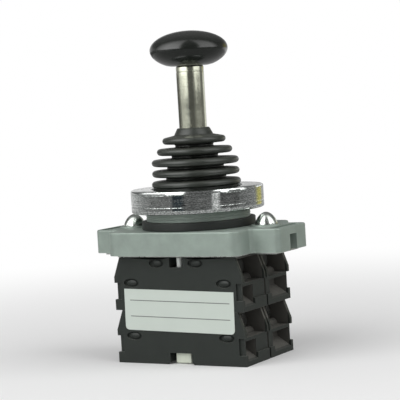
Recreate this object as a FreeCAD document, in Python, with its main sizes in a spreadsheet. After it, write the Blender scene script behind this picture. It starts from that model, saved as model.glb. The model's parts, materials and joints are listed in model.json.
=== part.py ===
import FreeCAD, Part
import math
import os
import re
import Sketcher
from FreeCAD import Placement, Rotation, Vector

# Industrial joystick for a 30 mm panel hole: a ball knob on a steel rod in a two-axis gimbal, a rubber
# boot, a die-cast frame with a threaded collar, and four contact blocks stacked in two columns.
# Millimetres. The origin is the centre of the base under the rod, +Z up the rod, and -Y is the front,
# where the rating label sits. The terminals face -X and +X.

doc = FreeCAD.newDocument("industrial_joystick")
sheet = doc.addObject("Spreadsheet::Sheet", "sizes")
levels = doc.addObject("Spreadsheet::Sheet", "levels")

# Driving dimensions.
SIZES = [
    # Contact blocks
    ("block_length", "42"),
    ("column_width", "14.45"),
    ("layer_pitch", "15.3"),
    ("end_slope_inset", "2.1"),
    ("end_slope_drop", "5.7"),
    ("end_band", "1.7"),
    ("end_step", "0.6"),
    ("end_step_height", "4.8"),
    ("front_wall", "1.2"),
    ("cover_thickness", "1.25"),
    ("chamber_floor", "3.3"),
    ("chamber_half", "7.2"),
    ("top_notch_width", "4.3"),
    ("top_notch_drop", "2.9"),
    ("bottom_notch_width", "7.2"),
    ("post_channel_gap", "0.525"),
    ("cavity_start", "11.2"),
    ("cavity_roof", "0.6"),
    ("cavity_well", "2.2"),
    ("shelf_thickness", "0.9"),
    ("wedge_start", "16.6"),
    ("wedge_low", "1"),
    ("wedge_high", "4.3"),
    ("wedge_depth_right", "5.9"),
    ("wedge_depth_left", "10.3"),
    ("end_pad_length", "2.1"),
    # Rivets
    ("rivet_diameter", "1.8"),
    ("rivet_head_diameter", "3"),
    ("rivet_dimple_diameter", "4"),
    ("rivet_dimple_depth", "0.7"),
    ("rivet_boss_wall", "0.7"),
    ("upper_rivet_out", "6.4"),
    ("upper_rivet_drop", "1.7"),
    ("lower_rivet_out", "15.2"),
    # Terminals
    ("strip_thickness", "0.8"),
    ("strip_width", "2.7"),
    ("strip_lift", "0.45"),
    ("strip_tip", "4.6"),
    ("tab_gap", "0.1"),
    ("tab_thickness", "1.2"),
    ("tab_width", "6.4"),
    ("screw_height", "11.9"),
    ("screw_shank", "3.2"),
    ("screw_head", "4.4"),
    ("screw_head_height", "2"),
    ("clamp_plate_thickness", "1"),
    ("clamp_plate_width", "5.6"),
    ("clamp_gap", "1.3"),
    # Moving contacts
    ("bridge_length", "13.2"),
    ("bridge_width", "1.6"),
    ("bridge_thickness", "0.5"),
    ("bridge_height", "6.7"),
    ("bridge_step", "3.175"),
    ("contact_button", "1.5"),
    ("contact_button_height", "0.4"),
    ("plunger_width", "3.2"),
    ("plunger_leg", "2.5"),
    ("plunger_leg_low", "5.2"),
    ("plunger_foot_width", "4.9"),
    ("plunger_foot_height", "2.9"),
    ("plunger_foot_recess", "1.4"),
    ("plunger_base_gap", "0.3"),
    ("post_thickness", "3.7"),
    ("post_low", "8"),
    ("web_top", "11.6"),
    ("notch_pin_diameter", "1.6"),
    ("notch_pin_step", "0.65"),
    ("notch_pin_drop", "0.2"),
    ("crosshead_half", "5.4"),
    ("crosshead_top", "10.4"),
    ("crosshead_thickness", "1.6"),
    ("slide_clearance", "0.25"),
    ("spring_wire", "0.34"),
    ("spring_coil", "2.8"),
    ("spring_turns", "4"),
    # Push rods
    ("rod_out", "4"),
    ("push_rod_diameter", "2.4"),
    ("rod_clearance", "0.09"),
    # Stack screws
    ("stack_screw_out", "9.2"),
    ("stack_screw_in", "3.9"),
    ("stack_screw_diameter", "2.5"),
    ("stack_screw_head", "2"),
    ("stack_screw_head_diameter", "4"),
    ("stack_screw_recess", "2.6"),
    ("head_clearance", "0.2"),
    ("stack_screw_reach", "0.6"),
    # Label
    ("label_length", "35.3"),
    ("label_height", "12"),
    ("label_low", "9.2"),
    ("label_thickness", "0.25"),
    ("label_corner", "0.8"),
    # Frame casting
    ("plate_thickness", "0.6"),
    ("plate_inset", "2.1"),
    ("plate_rim", "0.85"),
    ("plate_body_half", "19.5"),
    ("plate_ear_half", "7"),
    ("plate_window_length", "11.6"),
    ("plate_screw_x", "16.5"),
    ("plate_screw_y", "9.5"),
    ("plate_screw_diameter", "2.5"),
    ("plate_screw_length", "4.5"),
    ("plate_screw_head", "3.7"),
    ("frame_end_inset", "0.5"),
    ("frame_side", "2"),
    ("frame_thickness", "6.8"),
    ("frame_corner", "3"),
    ("lobe_length", "8.8"),
    ("lobe_half_width", "9"),
    ("lobe_corner", "1.6"),
    ("lobe_fillet", "1.6"),
    ("lobe_rim", "0.9"),
    ("lobe_recess_depth", "1.2"),
    ("frame_edge_round", "0.5"),
    ("lobe_slot_width", "4.3"),
    ("lobe_slot_height", "4.5"),
    ("lobe_slot_wall", "1.2"),
    ("pin_relief_height", "1"),
    ("screw_boss_diameter", "8.7"),
    ("screw_boss_height", "0.4"),
    ("screw_boss_gap", "1.15"),
    ("clamp_screw_diameter", "5"),
    ("clamp_screw_cone", "6"),
    ("clamp_screw_tip", "3.6"),
    ("clamp_screw_tip_flat", "0.8"),
    ("thread_clearance", "0.04"),
    ("collar_diameter", "30"),
    ("collar_bore", "25"),
    ("gasket_width", "1.5"),
    ("gasket_thickness", "2.4"),
    ("panel_gap", "2.5"),
    ("nut_wall", "4.2"),
    ("nut_height", "6.6"),
    ("nut_lip", "1.2"),
    ("nut_lip_depth", "1.8"),
    ("nut_chamfer", "0.5"),
    ("nut_groove_depth", "0.25"),
    ("nut_groove_width", "0.35"),
    ("nut_groove_drop", "4.3"),
    # Lever and gimbal
    ("pivot_rise", "5.8"),
    ("gimbal_outer", "23.4"),
    ("gimbal_inner", "14.8"),
    ("gimbal_thickness", "4"),
    ("gimbal_pin_diameter", "2.4"),
    ("running_clearance", "0.05"),
    ("gimbal_pin_in", "8.1"),
    ("gimbal_pin_out", "14.7"),
    ("hub_pin_in", "3.4"),
    ("hub_pin_out", "11.4"),
    ("hub_diameter", "12.4"),
    ("hub_height", "6"),
    ("hub_neck_diameter", "7.2"),
    ("hub_bar_half", "8.5"),
    ("hub_bar_width", "3"),
    ("hub_bar_drop", "4.1"),
    ("hub_bar_thickness", "0.7"),
    ("foot_radius", "1.2"),
    ("foot_drop", "5.6"),
    ("foot_gap", "0.05"),
    ("shaft_diameter", "8"),
    ("shaft_tail_diameter", "5"),
    ("shaft_tail_drop", "4"),
    ("lever_reach", "34.9"),
    ("knob_stud_diameter", "6"),
    ("knob_stud_height", "6"),
    ("knob_radius", "11.25"),
    ("knob_height", "10.1"),
    ("knob_underside", "4.8"),
    ("knob_seat_diameter", "11.6"),
    # Boot
    ("boot_wall", "0.6"),
    ("boot_ridge_round", "0.95"),
    ("boot_furrow_round", "0.45"),
    ("boot_first_rise", "1.2"),
    ("boot_pitch", "3.1"),
    ("boot_throat_gap", "0.3"),
    ("boot_peak_2", "12.65"),
    ("boot_peak_3", "12.6"),
    ("boot_peak_4", "10.9"),
    ("boot_peak_5", "9.15"),
    ("boot_valley_1", "8.7"),
    ("boot_valley_2", "8.2"),
    ("boot_valley_3", "6.7"),
    ("boot_valley_4", "5.5"),
    ("boot_cone_radius", "5.65"),
    ("boot_neck_radius", "4.6"),
    ("boot_cone_rise", "1.5"),
    ("boot_flange_inset", "0.4"),
    ("boot_flange_height", "1"),
    ("boot_flange_gap", "0.1"),
    ("boot_neck_height", "2"),
    ("boot_shaft_clearance", "0.1"),
]
SIZE = dict(SIZES)
for row, (alias, value) in enumerate(SIZES, start=1):
    sheet.set("A%d" % row, alias.replace("_", " "))
    sheet.set("B%d" % row, value)
    sheet.setAlias("B%d" % row, alias)


def bound(text):
    """Give the formula with each size named in its sheet."""
    def named(match):
        word = match.group()
        if word in SIZE:
            return "sizes." + word
        if word in LEVEL_NAMES:
            return "levels." + word
        return word
    return re.sub(r"[a-z_][a-z_0-9]*", named, text)


# Places that follow from the driving dimensions. Block places are measured from a block's own base and,
# along Y, from the seam between the two columns, where the front column lies at negative Y.
LEVELS = [
    ("half_block", "block_length / 2"),
    ("column_centre", "0 - column_width / 2"),
    ("slope_low", "layer_pitch - end_slope_drop"),
    ("shelf_top", "slope_low - end_band"),
    ("step_low", "shelf_top - end_step_height"),
    ("inner_wall", "0 - cover_thickness"),
    ("front_face", "0 - column_width"),
    ("chamber_front", "front_face + front_wall"),
    ("chamber_roof", "layer_pitch - top_notch_drop"),
    ("cavity_top", "layer_pitch - cavity_roof"),
    ("strip_low", "chamber_floor + strip_lift"),
    ("strip_centre", "column_centre - bridge_step"),
    ("tab_start", "cavity_start + tab_gap"),
    ("tab_face", "tab_start + tab_thickness"),
    ("clamp_start", "tab_face + clamp_gap"),
    ("head_start", "clamp_start + clamp_plate_thickness"),
    ("head_face", "head_start + screw_head_height"),
    ("upper_rivet_height", "layer_pitch - upper_rivet_drop"),
    ("foot_front", "front_face + plunger_foot_recess"),
    ("leg_front", "strip_centre - plunger_leg / 2"),
    ("leg_back", "strip_centre + plunger_leg / 2"),
    ("post_front", "column_centre - post_thickness / 2"),
    ("post_back", "column_centre + post_thickness / 2"),
    ("post_channel_depth", "post_back - front_face + post_channel_gap"),
    ("notch_depth", "leg_back - front_face + slide_clearance"),
    ("pin_front", "leg_front - notch_pin_step - notch_pin_diameter / 2 - slide_clearance"),
    ("relief_front", "min(pin_front; 0 - collar_bore / 2 - pin_relief_height / 2)"),
    ("plate_window_width", "0 - 2 * pin_front"),
    ("plate_half_width", "plate_rim - pin_front"),
    ("stack_top", "2 * layer_pitch"),
    ("gasket_diameter", "collar_diameter + 2 * gasket_width"),
    ("clamp_screw_out", "gasket_diameter / 2 + screw_boss_gap + screw_boss_diameter / 2"),
    ("frame_half_length", "clamp_screw_out - frame_end_inset"),
    ("frame_half_width", "collar_diameter / 2 + frame_side"),
    ("frame_low", "stack_top + plate_thickness"),
    ("frame_top", "frame_low + frame_thickness"),
    ("pivot_height", "frame_low + pivot_rise"),
    ("lobe_reach", "frame_half_length + lobe_length"),
    ("lobe_slot_start", "clamp_screw_out + clamp_screw_diameter / 2 + lobe_slot_wall"),
    ("lobe_recess_start", "clamp_screw_out + screw_boss_diameter / 2 + head_clearance"),
    ("plate_half_length", "lobe_reach - plate_inset"),
    ("nut_diameter", "collar_diameter + 2 * nut_wall"),
    ("nut_opening", "collar_diameter - 2 * nut_lip_depth"),
    ("boot_flange_diameter", "collar_diameter - 2 * boot_flange_inset"),
    ("boot_peak_1", "nut_opening / 2 - boot_throat_gap"),
    ("gasket_top", "frame_top + gasket_thickness"),
    ("nut_low", "gasket_top + panel_gap"),
    ("nut_top", "nut_low + nut_height"),
    ("collar_top", "nut_top - nut_lip - boot_flange_height - boot_flange_gap"),
    ("foot_low", "pivot_height - foot_drop"),
    ("foot_centre", "foot_low + foot_radius"),
    ("plunger_top", "foot_low - foot_gap"),
    ("hub_low", "pivot_height - hub_height / 2"),
    ("bar_top", "pivot_height - hub_bar_drop"),
    ("bar_low", "bar_top - hub_bar_thickness"),
    ("tail_low", "pivot_height - shaft_tail_drop"),
    ("hub_top", "pivot_height + hub_height / 2"),
    ("gimbal_low", "pivot_height - gimbal_thickness / 2"),
    ("shaft_top_height", "nut_top + lever_reach"),
    ("knob_equator", "shaft_top_height + knob_underside"),
]
LEVEL_NAMES = [name for name, formula in LEVELS]
for row, (name, formula) in enumerate(LEVELS, start=1):
    levels.set("A%d" % row, "=" + bound(formula).replace("levels.", ""))
    levels.setAlias("A%d" % row, name)
doc.recompute()


def size(name):
    """Give a driving dimension or a level as a number."""
    owner = sheet if name in SIZE else levels
    return float(owner.get(name))


def bind(item, **formulas):
    """Tie properties of an object to formulas of the sizes; a double underscore stands for a dot."""
    for path, formula in formulas.items():
        item.setExpression(path.replace("__", "."), bound(str(formula)))
    return item


# Primitives and booleans
def box(name, x, y, z, length, width, height):
    item = doc.addObject("Part::Box", name)
    return bind(item, Length=length, Width=width, Height=height,
                Placement__Base__x=x, Placement__Base__y=y, Placement__Base__z=z)


AXIS_TURN = {
    "x": Rotation(Vector(0, 1, 0), 90),
    "y": Rotation(Vector(1, 0, 0), -90),
    "z": Rotation(),
}


def rod(name, axis, x, y, z, diameter, length):
    """A cylinder that starts at x, y, z and runs along +axis."""
    item = doc.addObject("Part::Cylinder", name)
    item.Placement = Placement(Vector(), AXIS_TURN[axis])
    return bind(item, Radius="(%s) / 2" % diameter, Height=length,
                Placement__Base__x=x, Placement__Base__y=y, Placement__Base__z=z)


def cone(name, x, y, z, low_diameter, high_diameter, height):
    item = doc.addObject("Part::Cone", name)
    return bind(item, Radius1="(%s) / 2" % low_diameter, Radius2="(%s) / 2" % high_diameter, Height=height,
                Placement__Base__x=x, Placement__Base__y=y, Placement__Base__z=z)


def ball(name, x, y, z, radius):
    item = doc.addObject("Part::Sphere", name)
    return bind(item, Radius=radius, Placement__Base__x=x, Placement__Base__y=y, Placement__Base__z=z)


def fuse(name, *items):
    joined = doc.addObject("Part::MultiFuse", name)
    joined.Shapes = list(items)
    joined.Refine = True
    return joined


def cut(name, base, *tools):
    tool = tools[0] if len(tools) == 1 else fuse(name + "_tools", *tools)
    result = doc.addObject("Part::Cut", name)
    result.Base = base
    result.Tool = tool
    result.Refine = True
    return result


def group(name, *items):
    """Separate solids that share one node."""
    joined = doc.addObject("Part::Compound", name)
    joined.Links = list(items)
    return joined


# Sketched bodies
def new_body(name):
    return doc.addObject("PartDesign::Body", name)


def origin_plane(body, role):
    return [feature for feature in body.Origin.OriginFeatures if feature.Role == role][0]


def new_sketch(body, name, role, height="0"):
    """A sketch on one of the body's origin planes, moved along the plane's normal by height."""
    sketch = body.newObject("Sketcher::SketchObject", name)
    sketch.AttachmentSupport = [(origin_plane(body, role), "")]
    sketch.MapMode = "FlatFace"
    sketch.setExpression("AttachmentOffset.Base.z", bound(height))
    return sketch


def outline(sketch, corners):
    """Add a closed outline of straight lines whose corners are pairs of formulas."""
    first = sketch.GeometryCount
    count = len(corners)
    start = [Vector(math.cos(2 * math.pi * i / count), math.sin(2 * math.pi * i / count), 0)
             for i in range(count)]
    for index in range(count):
        sketch.addGeometry(Part.LineSegment(start[index], start[(index + 1) % count]))
    for index, (across, up) in enumerate(corners):
        line = first + index
        sketch.addConstraint(Sketcher.Constraint("Coincident", line, 2, first + (index + 1) % count, 1))
        for kind, formula in (("DistanceX", across), ("DistanceY", up)):
            number = sketch.addConstraint(Sketcher.Constraint(kind, line, 1, 1.0))
            sketch.setExpression("Constraints[%d]" % number, bound(formula))


def circle(sketch, across, up, diameter):
    """Add a circle whose centre and diameter are formulas."""
    index = sketch.addGeometry(Part.Circle(Vector(1, 1, 0), Vector(0, 0, 1), 1))
    for kind, formula in (("DistanceX", across), ("DistanceY", up)):
        number = sketch.addConstraint(Sketcher.Constraint(kind, index, 3, 1.0))
        sketch.setExpression("Constraints[%d]" % number, bound(formula))
    number = sketch.addConstraint(Sketcher.Constraint("Diameter", index, 2.0))
    sketch.setExpression("Constraints[%d]" % number, bound(diameter))


def pad(body, sketch, length, flipped=False):
    feature = body.newObject("PartDesign::Pad", sketch.Name + "_pad")
    feature.Profile = sketch
    feature.setExpression("Length", bound(length))
    feature.Reversed = flipped
    return feature


def pocket(body, sketch, depth, flipped=False):
    """Cut the sketch into the body and make sure that it did cut."""
    doc.recompute()
    before = body.Shape.Volume
    feature = body.newObject("PartDesign::Pocket", sketch.Name + "_pocket")
    feature.Profile = sketch
    feature.setExpression("Length", bound(depth))
    feature.Reversed = flipped
    doc.recompute()
    if body.Shape.Volume >= before:
        raise RuntimeError("pocket cuts nothing: " + sketch.Name)
    return feature


def revolve(name, corners):
    """A body turned about Z from a closed outline of radius and height formulas."""
    body = new_body(name)
    sketch = new_sketch(body, name + "_profile", "XZ_Plane")
    outline(sketch, corners)
    feature = body.newObject("PartDesign::Revolution", name + "_turn")
    feature.Profile = sketch
    feature.ReferenceAxis = (sketch, ["V_Axis"])
    feature.Angle = 360
    return body


NEAR = 0.01
ALONG = 0.9


def edges_near(shape, test):
    return ["Edge%d" % number for number, edge in enumerate(shape.Edges, start=1) if test(edge)]


def dress(body, kind, name, size_name, test):
    """Round or chamfer the body's edges that pass the test."""
    doc.recompute()
    tip = body.Tip
    names = edges_near(tip.Shape, test)
    if not names:
        raise RuntimeError("no edge found for " + name)
    feature = body.newObject("PartDesign::" + kind, name)
    feature.Base = (tip, names)
    feature.setExpression("Radius" if kind == "Fillet" else "Size", bound(size_name))
    doc.recompute()
    return feature


PARTS = {}
BOOT_RIDGES = 5


def keep(name, item):
    """Name a finished sub-part; its label is the name of its file."""
    item.Label = name
    PARTS[name] = item
    return item


# Contact block housing: the outer moulding of one block, made for the front column at the base
def mirrored(corners):
    """Give the outline of the right half and its mirror image as one closed outline."""
    return corners + [("0 - (%s)" % across, up) for across, up in reversed(corners)]


BLOCK_OUTLINE = mirrored([
    ("half_block", "0"),
    ("half_block", "step_low"),
    ("half_block - end_step", "step_low"),
    ("half_block - end_step", "shelf_top"),
    ("half_block", "shelf_top"),
    ("half_block", "slope_low"),
    ("half_block - end_slope_inset", "layer_pitch"),
])
RIVET_PLACES = [
    ("upper_rivet_out", "upper_rivet_height"),
    ("0 - upper_rivet_out", "upper_rivet_height"),
    ("lower_rivet_out", "shelf_top"),
    ("0 - lower_rivet_out", "shelf_top"),
]


def rectangle(low_x, low_z, high_x, high_z):
    return [(low_x, low_z), (high_x, low_z), (high_x, high_z), (low_x, high_z)]


def make_housing():
    body = new_body("housing")
    profile = new_sketch(body, "housing_profile", "XZ_Plane", "cover_thickness")
    outline(profile, BLOCK_OUTLINE)
    pad(body, profile, "column_width - cover_thickness")

    notches = new_sketch(body, "housing_bottom_notch", "XZ_Plane", "column_width")
    outline(notches, [
        ("0 - bottom_notch_width / 2 - end_step", "0"),
        ("bottom_notch_width / 2 + end_step", "0"),
        ("bottom_notch_width / 2", "end_step"),
        ("bottom_notch_width / 2", "chamber_floor"),
        ("0 - bottom_notch_width / 2", "chamber_floor"),
        ("0 - bottom_notch_width / 2", "end_step"),
    ])
    pocket(body, notches, "notch_depth")

    channel = new_sketch(body, "housing_post_channel", "XZ_Plane", "column_width")
    outline(channel, rectangle("0 - top_notch_width / 2", "chamber_roof",
                               "top_notch_width / 2", "layer_pitch"))
    pocket(body, channel, "post_channel_depth")

    inner_depth = "column_width - cover_thickness - front_wall"
    chamber = new_sketch(body, "housing_chamber", "XZ_Plane", "cover_thickness")
    outline(chamber, rectangle("0 - chamber_half", "chamber_floor", "chamber_half", "chamber_roof"))
    pocket(body, chamber, inner_depth, True)

    for side, sign in (("right", ""), ("left", "0 - ")):
        cavity = new_sketch(body, "housing_cavity_" + side, "XZ_Plane", "cover_thickness")
        outline(cavity, [(sign + "(" + across + ")", up) for across, up in [
            ("cavity_start", "strip_low"),
            ("cavity_start + cavity_well", "strip_low"),
            ("cavity_start + cavity_well", "shelf_top"),
            ("half_block + end_step", "shelf_top"),
            ("half_block + end_step", "cavity_top"),
            ("cavity_start", "cavity_top"),
        ]])
        pocket(body, cavity, inner_depth, True)
        wedge = new_sketch(body, "housing_wedge_" + side, "XZ_Plane", "column_width - front_wall")
        outline(wedge, [(sign + "(" + across + ")", up) for across, up in [
            ("wedge_start", "wedge_high"),
            ("half_block + end_step", "wedge_low"),
            ("half_block + end_step", "shelf_top - shelf_thickness"),
            ("wedge_start", "shelf_top - shelf_thickness"),
        ]])
        pocket(body, wedge, "wedge_depth_" + side)
        end_pad = new_sketch(body, "housing_pad_" + side, "XZ_Plane", "column_width")
        outline(end_pad, [(sign + "(" + across + ")", up) for across, up in rectangle(
            "half_block - end_pad_length", "step_low", "half_block + end_step", "shelf_top")])
        pocket(body, end_pad, "end_step")

    slot = new_sketch(body, "housing_strip_slot", "XZ_Plane", "cover_thickness")
    outline(slot, rectangle("0 - tab_start", "strip_low", "tab_start", "strip_low + strip_thickness"))
    pocket(body, slot, "inner_wall - strip_centre + strip_width / 2", True)

    bosses = new_sketch(body, "housing_rivet_bosses", "XZ_Plane", "cover_thickness")
    for across, up in RIVET_PLACES[2:]:
        circle(bosses, across, up, "rivet_diameter + 2 * rivet_boss_wall")
    pad(body, bosses, "column_width - cover_thickness - front_wall / 2")

    for name, diameter, depth in (("holes", "rivet_diameter", "column_width"),
                                  ("dimples", "rivet_dimple_diameter", "rivet_dimple_depth")):
        drilled = new_sketch(body, "housing_rivet_" + name, "XZ_Plane", "column_width")
        for across, up in RIVET_PLACES:
            circle(drilled, across, up, diameter)
        pocket(body, drilled, depth)

    bores = new_sketch(body, "housing_bores", "XY_Plane")
    circle(bores, "0 - rod_out", "column_centre", "push_rod_diameter + 2 * rod_clearance")
    for sign in ("", "0 - "):
        circle(bores, sign + "stack_screw_out", "0 - stack_screw_in",
               "stack_screw_diameter + 2 * thread_clearance")
    pocket(body, bores, "layer_pitch", True)
    recess = new_sketch(body, "housing_screw_recess", "XY_Plane")
    for sign in ("", "0 - "):
        circle(recess, sign + "stack_screw_out", "0 - stack_screw_in",
               "stack_screw_head_diameter + 2 * head_clearance")
    pocket(body, recess, "stack_screw_recess", True)
    return body


def make_cover():
    body = new_body("cover")
    profile = new_sketch(body, "cover_profile", "XZ_Plane")
    outline(profile, BLOCK_OUTLINE)
    pad(body, profile, "cover_thickness")
    drilled = new_sketch(body, "cover_rivet_holes", "XZ_Plane", "cover_thickness")
    for across, up in RIVET_PLACES:
        circle(drilled, across, up, "rivet_diameter")
    pocket(body, drilled, "cover_thickness")
    return body


def make_rivets():
    rivets = []
    for number, (across, up) in enumerate(RIVET_PLACES, start=1):
        name = "rivet_%d" % number
        start = "front_face + rivet_dimple_depth"
        shank = rod(name + "_shank", "y", across, start, up, "rivet_diameter", "0 - (%s)" % start)
        head = rod(name + "_head", "y", across, "front_face + slide_clearance / 2", up, "rivet_head_diameter",
                   "rivet_dimple_depth - slide_clearance / 2")
        rivets.append(fuse(name, shank, head))
    return group("rivets", *rivets)


# Terminals, for one block: fixed contact strips, clamp plates and screws at both ends
def ends(make):
    """Make one solid at the right end and its mirror image at the left end."""
    return [make("right", 1), make("left", -1)]


def end_box(name, sign, near, y, z, length, width, height):
    """A box whose near face is the given distance from the middle, at the end that the sign names."""
    start = near if sign > 0 else "0 - (%s) - (%s)" % (near, length)
    return box(name, start, y, z, length, width, height)


def end_rod(name, sign, near, y, z, diameter, length):
    start = near if sign > 0 else "0 - (%s) - (%s)" % (near, length)
    return rod(name, "x", start, y, z, diameter, length)


def make_strip(side, sign):
    name = "strip_" + side
    tip = end_box(name + "_tip", sign, "strip_tip", "strip_centre - strip_width / 2", "strip_low",
                  "tab_face - strip_tip", "strip_width", "strip_thickness")
    tab = end_box(name + "_tab", sign, "tab_start", "column_centre - tab_width / 2", "strip_low",
                  "tab_thickness", "tab_width", "screw_height + screw_head / 2 - strip_low")
    bore = end_rod(name + "_bore", sign, "tab_start - tab_thickness", "column_centre", "screw_height",
                   "screw_shank + 2 * thread_clearance", "3 * tab_thickness")
    return cut(name, fuse(name + "_bent", tip, tab), bore)


def make_clamp_plate(side, sign):
    name = "clamp_plate_" + side
    plate = end_box(name + "_square", sign, "clamp_start", "column_centre - clamp_plate_width / 2",
                    "screw_height - screw_head / 2", "clamp_plate_thickness", "clamp_plate_width",
                    "screw_head")
    bore = end_rod(name + "_bore", sign, "clamp_start - clamp_gap", "column_centre", "screw_height",
                   "screw_shank + 2 * thread_clearance", "clamp_plate_thickness + 2 * clamp_gap")
    return cut(name, plate, bore)


def make_terminal_screw(side, sign):
    name = "terminal_screw_" + side
    shank = end_rod(name + "_shank", sign, "tab_start", "column_centre", "screw_height", "screw_shank",
                    "head_start - tab_start")
    head = end_rod(name + "_head", sign, "head_start", "column_centre", "screw_height", "screw_head",
                   "screw_head_height")
    return fuse(name, shank, head)


# Moving contacts
def make_plunger(name, upper):
    """The plunger of an upper block ends in a post under the hub's foot; that of a lower block
    carries a crosshead under the push rod and a foot that shows in the bottom notch."""
    body = new_body(name)
    profile = new_sketch(body, name + "_side", "YZ_Plane")
    leg_low = "plunger_leg_low" if upper else "plunger_base_gap"
    post_top = "plunger_top - layer_pitch" if upper else "crosshead_top"
    outline(profile, [
        ("leg_front", leg_low),
        ("leg_back", leg_low),
        ("leg_back", "post_low"),
        ("post_back", "post_low"),
        ("post_back", post_top),
        ("post_front", post_top),
        ("post_front", "web_top" if upper else "post_low + crosshead_thickness"),
        ("leg_front", "web_top" if upper else "post_low + crosshead_thickness"),
    ])
    pad(body, profile, "plunger_width").Midplane = True
    if upper:
        pin = new_sketch(body, name + "_pin", "XY_Plane", "web_top - end_step")
        circle(pin, "0", "leg_front - notch_pin_step", "notch_pin_diameter")
        pad(body, pin, "layer_pitch - notch_pin_drop - web_top + end_step")
    else:
        foot = new_sketch(body, name + "_foot", "XY_Plane", "plunger_base_gap")
        outline(foot, rectangle("0 - plunger_foot_width / 2", "foot_front",
                                "plunger_foot_width / 2", "leg_back"))
        pad(body, foot, "plunger_foot_height")
        head = new_sketch(body, name + "_crosshead", "XY_Plane", "crosshead_top - crosshead_thickness")
        outline(head, rectangle("0 - crosshead_half", "post_front", "crosshead_half", "post_back"))
        pad(body, head, "crosshead_thickness")
    window = new_sketch(body, name + "_window", "YZ_Plane", "0 - plunger_width")
    outline(window, rectangle("strip_centre - bridge_width / 2", "bridge_height",
                              "strip_centre + bridge_width / 2", "bridge_height + bridge_thickness"))
    pocket(body, window, "2 * plunger_width", True)
    return body


def make_bridge():
    strip = box("bridge_strip", "0 - bridge_length / 2", "strip_centre - bridge_width / 2", "bridge_height",
                "bridge_length", "bridge_width", "bridge_thickness")
    buttons = [rod("bridge_button_" + side, "z", "%s (bridge_length / 2 - contact_button)" % sign,
                   "strip_centre", "bridge_height - contact_button_height", "contact_button",
                   "contact_button_height") for side, sign in (("right", "1 *"), ("left", "-1 *"))]
    return fuse("bridge", strip, *buttons)


def make_spring():
    """A compression spring between the chamber's floor and the plunger's post."""
    helix = doc.addObject("Part::Helix", "spring_line")
    helix.SegmentLength = 1
    bind(helix, Radius="spring_coil / 2", Height="post_low - chamber_floor - spring_wire",
         Pitch="(post_low - chamber_floor - spring_wire) / spring_turns")
    wire = doc.addObject("Part::Circle", "spring_section")
    wire.Placement = Placement(Vector(), Rotation(Vector(1, 0, 0), 90))
    bind(wire, Radius="spring_wire / 2", Placement__Base__x="spring_coil / 2")
    doc.recompute()
    coil = doc.addObject("Part::Sweep", "spring_coil_sweep")
    coil.Sections = [wire]
    coil.Spine = (helix, edges_near(helix.Shape, lambda edge: True))
    coil.Solid = True
    coil.Frenet = True
    return bind(coil, Placement__Base__y="column_centre",
                Placement__Base__z="chamber_floor + spring_wire / 2")


def place(name, source, layer, rear):
    """Set a copy of a block's piece in its column and layer; the rear column is turned half round."""
    copy = group(name, source)
    copy.Placement = Placement(Vector(), Rotation(Vector(0, 0, 1), 180 if rear else 0))
    bind(copy, Placement__Base__z="%d * layer_pitch" % layer)
    return keep(name, copy)


BLOCK_PIECES = {
    "housing": make_housing(),
    "cover": make_cover(),
    "rivets": make_rivets(),
    "contact_strips": group("strips", *ends(make_strip)),
    "clamp_plates": group("plates", *ends(make_clamp_plate)),
    "terminal_screws": group("screws", *ends(make_terminal_screw)),
    "contact_bridge": make_bridge(),
    "return_spring": make_spring(),
}
PLUNGERS = [make_plunger("lower_plunger", False), make_plunger("upper_plunger", True)]
for column, rear in (("front", False), ("rear", True)):
    for layer, level in enumerate(("lower", "upper")):
        for piece, source in BLOCK_PIECES.items():
            place("%s_%s_%s" % (column, level, piece), source, layer, rear)
        place("%s_%s_plunger" % (column, level), PLUNGERS[layer], layer, rear)

push_rod = rod("push_rod", "z", "0 - rod_out", "column_centre", "crosshead_top", "push_rod_diameter",
               "plunger_top - crosshead_top")
place("left_push_rod", push_rod, 0, False)
place("right_push_rod", push_rod, 0, True)

# Long screws that hold each column under the retaining plate
stack_screws = []
for column, side_y in (("front", "-1 *"), ("rear", "1 *")):
    for side, side_x in (("right", "1 *"), ("left", "-1 *")):
        name = "stack_screw_%s_%s" % (column, side)
        across = side_x + " stack_screw_out"
        along = side_y + " stack_screw_in"
        low = "stack_screw_recess - stack_screw_head"
        shank = rod(name + "_shank", "z", across, along, low, "stack_screw_diameter",
                    "frame_low + stack_screw_reach - (%s)" % low)
        head = rod(name + "_head", "z", across, along, low, "stack_screw_head_diameter", "stack_screw_head")
        stack_screws.append(fuse(name, shank, head))
keep("stack_screws", group("stack_screws", *stack_screws))


# Rating label, bare
def make_label():
    body = new_body("rating_label")
    plate = new_sketch(body, "label_outline", "XZ_Plane", "column_width")
    outline(plate, rectangle("0 - label_length / 2", "label_low",
                             "label_length / 2", "label_low + label_height"))
    pad(body, plate, "label_thickness")
    dress(body, "Fillet", "label_corners", "label_corner",
          lambda edge: abs(edge.tangentAt(edge.FirstParameter).y) > ALONG)
    return body


keep("rating_label", make_label())


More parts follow.
